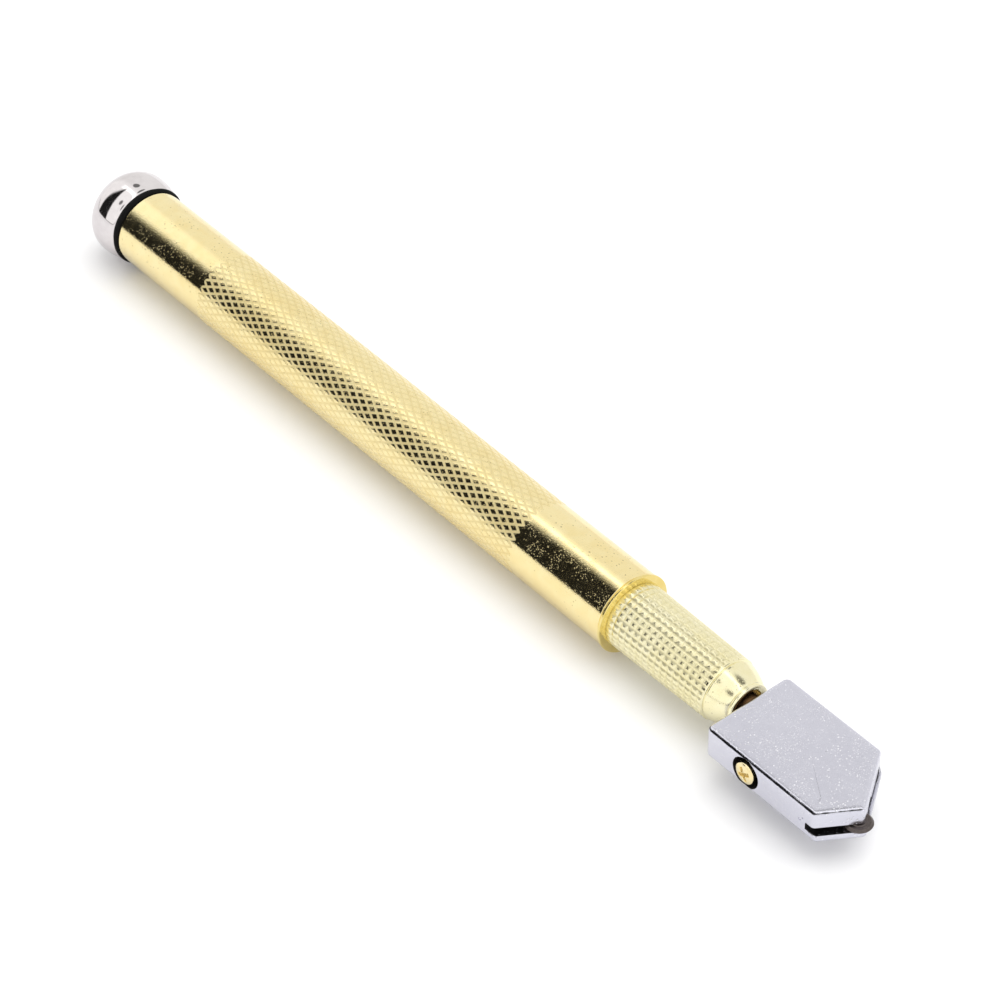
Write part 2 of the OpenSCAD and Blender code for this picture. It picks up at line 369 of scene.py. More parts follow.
def open_group(effect: Effect, inputs: Mapping[str, Any]) -> tuple[Wiring, Any, Any]:
    """Starts a shader group.

    Args:
        effect: Which effect the group holds.
        inputs: Input names with their defaults; None stands for a vector.

    Returns:
        The wiring of the group, its input node and its output node.
    """
    tree = bpy.data.node_groups.new(effect.value, "ShaderNodeTree")
    for name, default in inputs.items():
        kind = "NodeSocketVector" if default is None else "NodeSocketFloat"
        socket = tree.interface.new_socket(name=name, in_out="INPUT", socket_type=kind)
        if default is not None:
            socket.default_value = default
    tree.interface.new_socket(name="Mask", in_out="OUTPUT", socket_type="NodeSocketFloat")
    wiring = Wiring(tree)
    return wiring, wiring.add("NodeGroupInput"), wiring.add("NodeGroupOutput")


def pits_group() -> bpy.types.NodeTree:
    """Round pits of mixed size that gather in clusters.

    Each cell of a Voronoi pattern holds one pit when its random number is under Share times
    the cluster noise, which is spread from 0.15 to 2. A pit's radius is a random 0.16 to 0.46
    of a cell, and its mask falls smoothly from 1 at its centre to 0 at its rim.

    Returns:
        The group's tree.
    """
    w, into, out = open_group(Effect.PITS, {"Vector": None, "Scale": 2000.0, "Share": 0.2,
                                            "Cluster": 200.0})
    cell = w.add("TexVoronoi", {"Vector": into.outputs["Vector"], "Scale": into.outputs["Scale"]})
    pick = w.add("SeparateColor", {"Color": cell.outputs["Color"]})
    cloud = w.add("TexNoise", {"Vector": into.outputs["Vector"], "Scale": into.outputs["Cluster"],
                               "Detail": 2.0})
    crowd = w.span(cloud.outputs[0], 0.42, 0.62, (0.15, 2.0))
    share = w.maths("MULTIPLY", into.outputs["Share"], crowd)
    held = w.maths("LESS_THAN", pick.outputs[0], share)
    reach = w.maths("MULTIPLY_ADD", pick.outputs[1], 0.3, 0.16)
    fall = w.maths("SUBTRACT", 1.0, w.maths("DIVIDE", cell.outputs["Distance"], reach), clamp=True)
    soft = w.span(fall, 0.0, 0.6, (0.0, 1.0))
    w.feed(out.inputs["Mask"], w.maths("MULTIPLY", held, soft))
    return w.tree


def mottle_group() -> bpy.types.NodeTree:
    """Soft clouds with finer clouds on them, 0 to 1.

    Returns:
        The group's tree.
    """
    w, into, out = open_group(Effect.MOTTLE, {"Vector": None, "Scale": 100.0, "Fine": 0.4})
    wide = w.add("TexNoise", {"Vector": into.outputs["Vector"], "Scale": into.outputs["Scale"],
                              "Detail": 3.0, "Roughness": 0.55})
    near = w.maths("MULTIPLY", into.outputs["Scale"], 9.0)
    fine = w.add("TexNoise", {"Vector": into.outputs["Vector"], "Scale": near, "Detail": 2.0})
    both = w.lean(into.outputs["Fine"], wide.outputs[0], fine.outputs[0])
    w.feed(out.inputs["Mask"], w.span(both, 0.3, 0.7, (0.0, 1.0)))
    return w.tree


def lines_group() -> bpy.types.NodeTree:
    """Fine lines that change with one coordinate only, as a turning tool leaves them.

    Returns:
        The group's tree.
    """
    w, into, out = open_group(Effect.LINES, {"Place": 0.0, "Scale": 4000.0})
    place = w.maths("MULTIPLY", into.outputs["Place"], into.outputs["Scale"])
    noise = w.add("TexNoise", {"W": place, "Scale": 1.0, "Detail": 3.0, "Roughness": 0.7},
                  noise_dimensions="1D")
    w.feed(out.inputs["Mask"], noise.outputs[0])
    return w.tree


def shaded_rim_group() -> bpy.types.NodeTree:
    """Painted dark rim line broken up by noise: rim x (rim + noise x Break), cut off smoothly.

    Returns:
        The group's tree.
    """
    w, into, out = open_group(Effect.WORN_RIM, {"Vector": None, "Rim": 0.0, "Scale": 900.0,
                                                "Break": 0.5})
    noise = w.add("TexNoise", {"Vector": into.outputs["Vector"], "Scale": into.outputs["Scale"],
                               "Detail": 3.0, "Roughness": 0.65})
    push = w.maths("MULTIPLY", w.maths("SUBTRACT", noise.outputs[0], 0.5), into.outputs["Break"])
    lifted = w.maths("MULTIPLY", w.maths("ADD", into.outputs["Rim"], push), into.outputs["Rim"])
    w.feed(out.inputs["Mask"], w.span(lifted, 0.35, 0.75, (0.0, 1.0)))
    return w.tree


@dataclass
class EffectShelf:
    """Holds each shared shader group, built once.

    Attributes:
        trees: The groups by effect.
    """

    trees: dict[Effect, bpy.types.NodeTree] = field(default_factory=dict)

    def build(self) -> None:
        """Builds every group."""
        self.trees = {Effect.PITS: pits_group(), Effect.MOTTLE: mottle_group(),
                      Effect.LINES: lines_group(), Effect.WORN_RIM: shaded_rim_group()}

    def place(self, wiring: Wiring, effect: Effect, **values: Source) -> Any:
        """Puts one effect into a material.

        Args:
            wiring: Wiring of the material.
            effect: Which effect.
            **values: What goes into the group's inputs.

        Returns:
            The mask's socket.
        """
        node = wiring.add("Group", node_tree=self.trees[effect])
        for name, value in values.items():
            wiring.feed(node.inputs[name], value)
        return node.outputs["Mask"]


SHELF = EffectShelf()


@dataclass
class Skin:
    """A material under way.

    Attributes:
        name: Name of the material.
        wiring: Wiring of its node tree.
        shader: Its Principled shader.
        coords: Its object coordinates.
        material: The material itself.
    """

    name: str
    wiring: Wiring = field(init=False)
    shader: Any = field(init=False)
    coords: Any = field(init=False)
    material: bpy.types.Material = field(init=False)

    def __post_init__(self) -> None:
        """Makes the material and its shader."""
        self.material = bpy.data.materials.new(self.name)
        self.material.use_nodes = True
        self.material.node_tree.nodes.clear()
        self.wiring = Wiring(self.material.node_tree)
        self.shader = self.wiring.add("BsdfPrincipled")
        end = self.wiring.add("OutputMaterial")
        self.wiring.feed(end.inputs["Surface"], self.shader.outputs[0])
        self.coords = self.wiring.add("TexCoord").outputs["Object"]

    def effect(self, effect: Effect, **values: Source) -> Any:
        """Mask of a shared effect on this skin's object coordinates."""
        if effect is not Effect.LINES:
            values = {"Vector": self.coords, **values}
        return SHELF.place(self.wiring, effect, **values)

    def along(self) -> Any:
        """Place along the tool, the X of the object coordinates."""
        return self.wiring.add("SeparateXYZ", {0: self.coords}).outputs[0]

    def layer(self, name: str) -> Any:
        """Value kept at the surface's points under this name."""
        node = self.wiring.add("Attribute", attribute_name=name, attribute_type="GEOMETRY")
        return node.outputs["Fac"]

    def relief(self, *waves: tuple[Source, float]) -> None:
        """Chains bumps into the shader's normal.

        Args:
            *waves: Pairs of a height, 0 to 1, and how high 1 is, in metres; below zero sinks.
        """
        normal = None
        for height, rise in waves:
            feeds = {"Height": height, "Distance": abs(rise), "Strength": 1.0}
            bump = self.wiring.add("Bump", feeds, invert=rise < 0)
            if normal is not None:
                self.wiring.feed(bump.inputs["Normal"], normal)
            normal = bump.outputs[0]
        self.wiring.feed(self.shader.inputs["Normal"], normal)

    def set(self, **values: Source) -> None:
        """Feeds the shader's inputs; an underscore in a name stands for a space."""
        for name, value in values.items():
            self.wiring.feed(self.shader.inputs[name.replace("_", " ")], value)


@dataclass(frozen=True)
class PlatedBrass:
    """Bright brass plating: clouds of tone, fine turning lines, pits, and shade painted dark into the
    grooves and pits.

    Attributes:
        name: Name of the finish.
        pale: Colour where the plating is fresh.
        deep: Colour where it is warmer.
        groove_shade: Colour at the bottom of the grooves and pits.
        rough: Lowest and highest roughness.
        pit_share: How much of the surface the pits take.
        wave: Height of the plating's fine grain, in metres.
        lines: Depth of the turning lines, in metres.
        worn: Roughness at the bottom of the grooves.
    """

    name: str
    pale: Colour = (0.97, 0.84, 0.47)
    deep: Colour = (0.93, 0.77, 0.38)
    groove_shade: Colour = (0.25, 0.19, 0.07)
    rough: tuple[float, float] = (0.05, 0.13)
    pit_share: float = 0.16
    wave: float = 3.0e-6
    lines: float = 0.5e-6
    worn: float = 0.50

    def material(self) -> bpy.types.Material:
        """Builds the finish.

        Returns:
            The new material.
        """
        skin = Skin(self.name)
        w = skin.wiring
        clouds = skin.effect(Effect.MOTTLE, Scale=60.0, Fine=0.45)
        grain = skin.effect(Effect.MOTTLE, Scale=700.0, Fine=0.7)
        specks = skin.effect(Effect.PITS, Scale=4200.0, Share=0.4, Cluster=320.0)
        pits = skin.effect(Effect.PITS, Scale=2600.0, Share=self.pit_share, Cluster=150.0)
        lines = skin.effect(Effect.LINES, Place=skin.along(), Scale=5200.0)
        groove = skin.layer("groove")
        tone = w.blend(clouds, self.pale, self.deep)
        # Painted shade: the grooves and pits are darkened towards the dark groove colour.
        shade_share = w.maths("MAXIMUM", w.maths("MULTIPLY", groove, 0.12), w.maths("MULTIPLY", pits, 0.5))
        smooth = w.span(grain, 0.0, 1.0, self.rough)
        dull = w.span(groove, 0.05, 0.5, (0.0, 1.0))
        skin.set(Metallic=1.0, Base_Color=w.blend(shade_share, tone, self.groove_shade),
                 Roughness=w.lean(dull, smooth, self.worn))
        skin.relief((grain, self.wave), (lines, self.lines), (specks, 3 * self.wave),
                    (pits, -7e-6))
        return skin.material


@dataclass(frozen=True)
class MirrorChrome:
    """Polished chrome with faint haze, hairline turning marks and a few pin pits.

    Attributes:
        name: Name of the finish.
        pale: Colour of the clean metal.
        haze: Colour where a film lies on it.
        rough: Lowest and highest roughness.
    """

    name: str
    pale: Colour = (0.80, 0.765, 0.76)
    haze: Colour = (0.70, 0.66, 0.66)
    rough: tuple[float, float] = (0.04, 0.11)

    def material(self) -> bpy.types.Material:
        """Builds the finish.

        Returns:
            The new material.
        """
        skin = Skin(self.name)
        w = skin.wiring
        clouds = skin.effect(Effect.MOTTLE, Scale=120.0, Fine=0.35)
        pits = skin.effect(Effect.PITS, Scale=1500.0, Share=0.03, Cluster=150.0)
        lines = skin.effect(Effect.LINES, Place=skin.along(), Scale=3000.0)
        skin.set(Metallic=1.0, Base_Color=w.blend(clouds, self.pale, self.haze),
                 Roughness=w.span(clouds, 0.0, 1.0, self.rough))
        skin.relief((clouds, 2e-6), (lines, 0.25e-6), (pits, -4e-6))
        return skin.material


@dataclass(frozen=True)
class CastChrome:
    """Chrome over a die casting: satin skin, clusters of pits with painted glints, broken dark line
    of painted reflection and shade on its rims.

    Attributes:
        name: Name of the finish.
        pale: Colour of the plating.
        dull: Colour where it is thinner.
        pit_glint: Colour of the bright flecks in the pits.
        dark: Colour of the bare metal in specks, and of the dark reflection and shade painted along
            the rims.
        rough: Lowest and highest roughness.
    """

    name: str
    pale: Colour = (0.70, 0.70, 0.775)
    dull: Colour = (0.655, 0.655, 0.73)
    # fleck: Colour of the glints painted in the pits.
    pit_glint: Colour = (0.98, 0.98, 1.0)
    dark: Colour = (0.03, 0.03, 0.035)
    rough: tuple[float, float] = (0.16, 0.22)

    def material(self) -> bpy.types.Material:
        """Builds the finish.

        Returns:
            The new material.
        """
        skin = Skin(self.name)
        w = skin.wiring
        clouds = skin.effect(Effect.MOTTLE, Scale=140.0, Fine=0.3)
        skin_grain = skin.effect(Effect.MOTTLE, Scale=1500.0, Fine=0.5)
        pits = skin.effect(Effect.PITS, Scale=2600.0, Share=0.30, Cluster=140.0)
        specks = skin.effect(Effect.PITS, Scale=900.0, Share=0.004, Cluster=300.0)
        rim = skin.effect(Effect.WORN_RIM, Rim=skin.layer("rim"), Scale=620.0, Break=1.6)
        fine = skin.effect(Effect.PITS, Scale=5200.0, Share=0.5, Cluster=170.0)
        tone = w.blend(clouds, self.pale, self.dull)
        # Painted highlight: the pits are lightened towards the glint colour.
        tone = w.blend(w.maths("MULTIPLY", w.maths("MAXIMUM", pits, fine), 0.75), tone, self.pit_glint)
        # The rim line is painted dark as the bevel's reflection and the slot's shade; the specks are
        # bare metal.
        marks = w.maths("MAXIMUM", rim, w.maths("MULTIPLY", specks, 0.7))
        skin.set(Metallic=1.0, Base_Color=w.blend(marks, tone, self.dark),
                 Roughness=w.span(skin_grain, 0.0, 1.0, self.rough))
        skin.relief((clouds, 4e-6), (skin_grain, 1.2e-6), (pits, -24e-6), (fine, -12e-6))
        return skin.material


@dataclass(frozen=True)
class BareCastingInShade:
    """Unplated die casting inside the holes and the slot: dark metal painted near black as their
    shade, dull and stained with oil.

    Attributes:
        name: Name of the finish.
        shaded_grey: Colour of the bare metal, darkened to near black as painted shade.
        stain: Colour where oil has dried.
    """

    name: str
    shaded_grey: Colour = (0.022, 0.020, 0.020)
    stain: Colour = (0.007, 0.006, 0.005)

    def material(self) -> bpy.types.Material:
        """Builds the finish.

        Returns:
            The new material.
        """
        skin = Skin(self.name)
        w = skin.wiring
        clouds = skin.effect(Effect.MOTTLE, Scale=500.0, Fine=0.5)
        pits = skin.effect(Effect.PITS, Scale=2500.0, Share=0.4, Cluster=400.0)
        skin.set(Metallic=0.4, Base_Color=w.blend(clouds, self.shaded_grey, self.stain),
                 Roughness=w.span(clouds, 0.0, 1.0, (0.5, 0.75)))
        skin.relief((clouds, 12e-6), (pits, -20e-6))
        return skin.material


@dataclass(frozen=True)
class SealRubber:
    """Black rubber with a dry bloom and a fine moulded skin.

    Attributes:
        name: Name of the finish.
        deep: Colour of the clean rubber.
        bloom: Colour of the bloom.
    """

    name: str
    deep: Colour = (0.003, 0.003, 0.003)
    bloom: Colour = (0.008, 0.008, 0.008)

    def material(self) -> bpy.types.Material:
        """Builds the finish.

        Returns:
            The new material.
        """
        skin = Skin(self.name)
        w = skin.wiring
        clouds = skin.effect(Effect.MOTTLE, Scale=260.0, Fine=0.5)
        grain = skin.effect(Effect.MOTTLE, Scale=2500.0, Fine=0.5)
        skin.set(Base_Color=w.blend(clouds, self.deep, self.bloom),
                 Roughness=w.span(clouds, 0.0, 1.0, (0.42, 0.62)), Specular_IOR_Level=0.06)
        skin.relief((grain, 6e-6))
        return skin.material


@dataclass(frozen=True)
class GroundMetal:
    """Ground or drawn metal: lines round an axle, or along the tool when there is none.

    Attributes:
        name: Name of the finish.
        light: Colour of the crests of the lines.
        shade: Colour between them.
        rough: Lowest and highest roughness.
        centre: Point on the axle that the lines run round, in metres, or None.
        metallic: Share of metal in the shading.
    """

    name: str
    light: Colour
    shade: Colour
    rough: tuple[float, float] = (0.25, 0.45)
    centre: tuple[float, float, float] | None = None
    metallic: float = 1.0

    def material(self) -> bpy.types.Material:
        """Builds the finish.

        Returns:
            The new material.
        """
        skin = Skin(self.name)
        w = skin.wiring
        if self.centre is None:
            place = skin.along()
        else:
            away = tuple(-c for c in self.centre)
            moved = w.add("Mapping", {"Vector": skin.coords, "Location": away,
                                      "Scale": (1.0, 1.0, 0.0)})
            place = w.add("VectorMath", {0: moved.outputs[0]}, operation="LENGTH").outputs[1]
        lines = skin.effect(Effect.LINES, Place=place, Scale=9000.0)
        clouds = skin.effect(Effect.MOTTLE, Scale=400.0, Fine=0.5)
        tone = w.blend(w.maths("MULTIPLY", lines, clouds), self.shade, self.light)
        skin.set(Metallic=self.metallic, Base_Color=tone,
                 Roughness=w.span(clouds, 0.0, 1.0, self.rough))
        skin.relief((lines, 3e-6), (clouds, 2e-6))
        return skin.material


@dataclass(frozen=True)
class OiledCotton:
    """Cotton wick: pale twisted yarns, darker where oil has soaked in.

    Attributes:
        name: Name of the finish.
        dry: Colour of the dry yarn.
        oiled: Colour where oil has soaked in.
    """

    name: str
    dry: Colour = (0.78, 0.73, 0.60)
    oiled: Colour = (0.42, 0.34, 0.20)

    def material(self) -> bpy.types.Material:
        """Builds the finish.

        Returns:
            The new material.
        """
        skin = Skin(self.name)
        w = skin.wiring
        turned = w.add("Mapping", {"Vector": skin.coords, "Rotation": (0.0, 0.5, 0.4)})
        yarn = w.add("TexWave", {"Vector": turned.outputs[0], "Scale": 700.0, "Distortion": 1.5})
        clouds = skin.effect(Effect.MOTTLE, Scale=300.0, Fine=0.5)
        skin.set(Base_Color=w.blend(clouds, self.dry, self.oiled), Roughness=0.9)
        skin.relief((yarn.outputs["Fac"], 40e-6), (clouds, 15e-6))
        return skin.material


# ---------------------------------------------------------------- pieces


class Part(Protocol):
    """A piece that makes its own surface and dresses it."""

    def build(self) -> bpy.types.Object:
        """Makes the piece."""

    def dress(self, piece: bpy.types.Object) -> None:
        """Gives the piece its finish and its body."""


def fit(piece: bpy.types.Object, body: Body, node: str,
        material: bpy.types.Material | None) -> None:
    """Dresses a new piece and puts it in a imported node's place.

    Args:
        piece: The new piece.
        body: Body that it moves with.
        node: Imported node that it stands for.
        material: Its finish, or None when it is dressed already.
    """
    if material is not None:
        piece.data.materials.append(material)
    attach(piece, body.value)
    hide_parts(node)


def tool_lathe(node: str) -> Lathe:
    """Lathe on the tool's axis, starting at a node's rear end."""
    low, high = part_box("handle_tube")
    return Lathe((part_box(node)[0].x, (low.y + high.y) / 2, (low.z + high.z) / 2))


def radius_of(node: str) -> float:
    """Half the height of a round node."""
    low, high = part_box(node)
    return (high.z - low.z) / 2


def thread(turn: np.ndarray, run: np.ndarray, pitch: float, deep: float) -> np.ndarray:
    """Depth of a right-hand thread: a triangle wave of run / pitch - turn, 0 on the crests."""
    return deep * 2.0 * off_line(run / pitch - turn)


@dataclass
class HandleTube:
    """Brass tube with a diamond knurl between two smooth bands and a thread for the cap.

    Attributes:
        bore: Radius of the bore.
        chamfer: Chamfer on the rims.
        knurl_from: Where the knurl starts, from the rear rim.
        knurl_to: Where it ends.
        run_out: Length over which the grooves fade at both ends.
        diamonds: Diamonds round the tube.
        pitch: Length of a diamond.
        depth: Depth of the grooves.
        width: Half width of a groove, as a share of a diamond.
        grain: Points round a diamond, and rows along it.
        band_rows: Rows on each smooth band.
        thread_len: Length of the thread in the rear of the bore.
        thread_pitch: Travel of the cap for each turn.
        thread_deep: Depth of the thread.
        relief: Length of the step between the thread and the plain bore.
        finish: Brass of the tube.
    """

    bore: float = 5.33 * MM
    chamfer: float = 0.3 * MM
    knurl_from: float = 21.0 * MM
    knurl_to: float = 97.2 * MM
    run_out: float = 0.4 * MM
    diamonds: int = 32
    pitch: float = 2.3 * MM
    depth: float = 0.035 * MM
    width: float = 0.23
    grain: int = 8
    band_rows: int = 8
    thread_len: float = 7.6 * MM
    thread_pitch: float = 1.0 * MM
    thread_deep: float = 0.30 * MM
    relief: float = 1.5 * MM
    finish: PlatedBrass = PlatedBrass("bright_plated_brass")

    def grooves(self, run: np.ndarray, turn: np.ndarray) -> tuple[np.ndarray, np.ndarray]:
        """Distance to the two sets of crossing grooves.

        The grooves lie where diamonds x turn +/- run / pitch is a whole number.

        Args:
            run: Distance from the knurl's start.
            turn: Share of a turn round the tube.

        Returns:
            Distance to each set, as a share of a diamond.
        """
        lead, step = self.diamonds * turn, run / self.pitch
        return off_line(lead + step), off_line(lead - step)

    def build(self) -> bpy.types.Object:
        """Makes the tube as one closed ring of rows, outside first and then back along the bore.

        Between the knurl's two ends r = R - depth x max(0, 1 - distance / width), where
        distance is the one to the nearer groove. Cells are cut along the grooves.

        Returns:
            The tube.
        """
        low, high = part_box("handle_tube")
        length, radius = high.x - low.x, radius_of("handle_tube")
        step = self.pitch / self.grain
        knurl = np.arange(self.knurl_from, self.knurl_to, step)
        rear = np.linspace(self.chamfer, self.knurl_from - step, self.band_rows)
        front = np.linspace(knurl[-1] + step, length - self.chamfer, self.band_rows)
        inner = np.arange(self.thread_len, 0.0, -self.thread_pitch / ROWS_PER_TURN)
        place = np.concatenate([[0.0], rear, knurl, front, [length, length],
                                [self.thread_len + self.relief], inner, [0.0]])
        base = np.full(len(place), radius)
        base[0] = radius - self.chamfer
        first = 1 + len(rear)
        outside = first + len(knurl) + len(front)
        base[outside] = radius - self.chamfer
        base[outside + 1:] = self.bore
        count = self.diamonds * self.grain
        turn = np.arange(count)[None, :] / count
        run = place[:, None] - self.knurl_from
        one, two = self.grooves(run, turn)
        near = np.clip(1.0 - np.minimum(one, two) / self.width, 0.0, 1.0)
        knurled = np.zeros((len(place), 1))
        knurled[first:first + len(knurl)] = 1.0
        fade = np.clip(run / self.run_out, 0.0, 1.0)
        fade *= np.clip((knurl[-1] - place[:, None]) / self.run_out, 0.0, 1.0)
        groove = near * fade * knurled
        threaded = np.zeros((len(place), 1))
        threaded[-len(inner):] = 1.0
        ridge = thread(turn, place[:, None], self.thread_pitch, self.thread_deep)
        r = base[:, None] - self.depth * groove - ridge * threaded
        mid_one, mid_two = self.grooves(run + step / 2, turn + 0.5 / count)
        rows = tool_lathe("handle_tube").rows(place, r, count)
        # The groove layer also darkens the grooves through the finish, as painted shade.
        return shell("handle_tube_knurled", rows, loop=True, split=mid_two <= mid_one,
                     sharp=26.0, layers={"groove": groove})

    def dress(self, piece: bpy.types.Object) -> None:
        """Gives the tube its finish and its body."""
        fit(piece, Body.HANDLE, "handle_tube", self.finish.material())


@dataclass
class EndCap:
    """Chromed tapping ball with a threaded stud.

    Attributes:
        count: Points round the ball.
        face: Radius of the flat face against the gasket.
        belly: Distance from the tapping face to the largest circle.
        power: Power p of the dome's superellipse; 2 is an ellipse.
        stud_r: Radius over the stud's thread.
        stud_root: Depth of the stud's thread.
        neck_len: Length of the plain neck next to the face.
        thread_from: Where the thread starts, from the face.
        plain_end: Length without thread at the stud's end.
        end_chamfer: How far the stud's end is smaller than its neck, in radius.
        thread_pitch: Travel of the cap for each turn.
        finish: Chrome of the cap.
    """

    count: int = 160
    face: float = 6.2 * MM
    belly: float = 5.1 * MM
    power: float = 2.1
    stud_r: float = 5.25 * MM
    stud_root: float = 0.32 * MM
    neck_len: float = 0.3 * MM
    thread_from: float = 0.4 * MM
    plain_end: float = 0.3 * MM
    end_chamfer: float = 0.2 * MM
    thread_pitch: float = 1.0 * MM
    finish: MirrorChrome = MirrorChrome("polished_chrome")

    def build(self) -> bpy.types.Object:
        """Turns the ball and its stud.

        Behind the largest circle the dome is a superellipse, r = R sin(a)^(2/p) and
        x = belly (1 - cos(a)^(2/p)); in front of it r follows a quarter ellipse to the face.

        Returns:
            The cap.
        """
        low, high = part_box("end_cap")
        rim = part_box("handle_tube")[0].x
        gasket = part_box("cap_gasket")[0].x
        radius, length = radius_of("end_cap"), high.x - low.x
        a = np.radians(np.linspace(1.5, 90.0, 44))
        dome_r = radius * np.sin(a) ** (2 / self.power)
        dome_x = self.belly * (1 - np.cos(a) ** (2 / self.power))
        flank = gasket - low.x - self.belly - SNUG
        t = np.linspace(0.0, 1.0, 22)[1:]
        skirt_x = self.belly + flank * t
        skirt_r = self.face + (radius - self.face) * np.sqrt(1 - t ** 2)
        root = skirt_x[-1]
        crest = np.arange(root + self.thread_from, length - self.plain_end,
                          self.thread_pitch / ROWS_PER_TURN)
        stud_x = np.concatenate([[root, root + self.neck_len], crest, [length]])
        neck = self.stud_r - self.stud_root
        stud_r = np.concatenate([[neck, neck], np.full(len(crest), self.stud_r),
                                 [neck - self.end_chamfer]])
        place = np.concatenate([dome_x, skirt_x, stud_x])
        base = np.concatenate([dome_r, skirt_r, stud_r])
        turn = np.arange(self.count)[None, :] / self.count
        cut = thread(turn, place[:, None] + low.x - rim, self.thread_pitch, self.stud_root)
        threaded = np.zeros((len(place), 1))
        threaded[-len(crest) - 1:-1] = 1.0
        rows = tool_lathe("end_cap").rows(place, base[:, None] - cut * threaded, self.count)
        return shell("end_cap_ball", rows, sharp=35.0)

    def dress(self, piece: bpy.types.Object) -> None:
        """Gives the cap its finish and its body."""
        fit(piece, Body.CAP, "end_cap", self.finish.material())


@dataclass
class CapGasket:
    """Black ring between the ball and the tube, rounded on its outside.

    Attributes:
        bore: Radius of the bore.
        soft: Size of the bore's softened edges.
        count: Points round the ring.
        finish: Rubber of the ring.
    """

    bore: float = 5.35 * MM
    soft: float = 0.05 * MM
    count: int = 160
    finish: SealRubber = SealRubber("gasket_rubber")

    def build(self) -> bpy.types.Object:
        """Turns the ring: a half circle outside and a square-cut bore with softened edges.

        Returns:
            The ring.
        """
        low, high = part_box("cap_gasket")
        half, bore, soft = (high.x - low.x) / 2, self.bore, self.soft
        a = np.radians(np.linspace(-90.0, 90.0, 17))
        rim = radius_of("cap_gasket") - half
        place = np.concatenate([[half, soft, 0.0], half + half * np.sin(a),
                                [2 * half, 2 * half - soft]])
        radius = np.concatenate([[bore, bore, bore + soft], rim + half * np.cos(a),
                                 [bore + soft, bore]])
        rows = tool_lathe("cap_gasket").rows(place, radius, self.count)
        return shell("cap_gasket_ring", rows, loop=True)

    def dress(self, piece: bpy.types.Object) -> None:
        """Gives the gasket its finish and its body."""
        fit(piece, Body.GASKET, "cap_gasket", self.finish.material())


@dataclass
class FrontRing:
    """Thin yellow ring clamped between the tube and the grip.

    Attributes:
        bore: Radius of the bore.
        soft: Radius of the rounded outer edges.
        count: Points round the ring.
        finish: Brass of the ring.
    """

    bore: float = 5.05 * MM
    soft: float = 0.09 * MM
    count: int = 192
    # Its pits are darkened by the finish as painted shade.
    finish: PlatedBrass = PlatedBrass(
        "yellow_brass", pale=(0.92, 0.78, 0.36), deep=(0.84, 0.66, 0.22), groove_shade=(0.3, 0.2, 0.05),
        rough=(0.05, 0.12), pit_share=0.03, wave=2.0e-6, lines=0.2e-6)

    def build(self) -> bpy.types.Object:
        """Turns the ring, its two outer edges rounded to quarter circles.

        Returns:
            The ring.
        """
        low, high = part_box("front_ring")
        wide, radius, soft = high.x - low.x, radius_of("front_ring"), self.soft
        a = np.radians(np.linspace(0.0, 90.0, 6))
        place = np.concatenate([[0.0], soft - soft * np.cos(a), wide - soft + soft * np.sin(a),
                                [wide]])
        r = np.concatenate([[self.bore], radius - soft + soft * np.sin(a),
                            radius - soft + soft * np.cos(a), [self.bore]])
        rows = tool_lathe("front_ring").rows(place, r, self.count)
        return shell("front_trim_ring", rows, loop=True)

    def dress(self, piece: bpy.types.Object) -> None:
        """Gives the ring its finish and its body."""
        fit(piece, Body.HANDLE, "front_ring", self.finish.material())


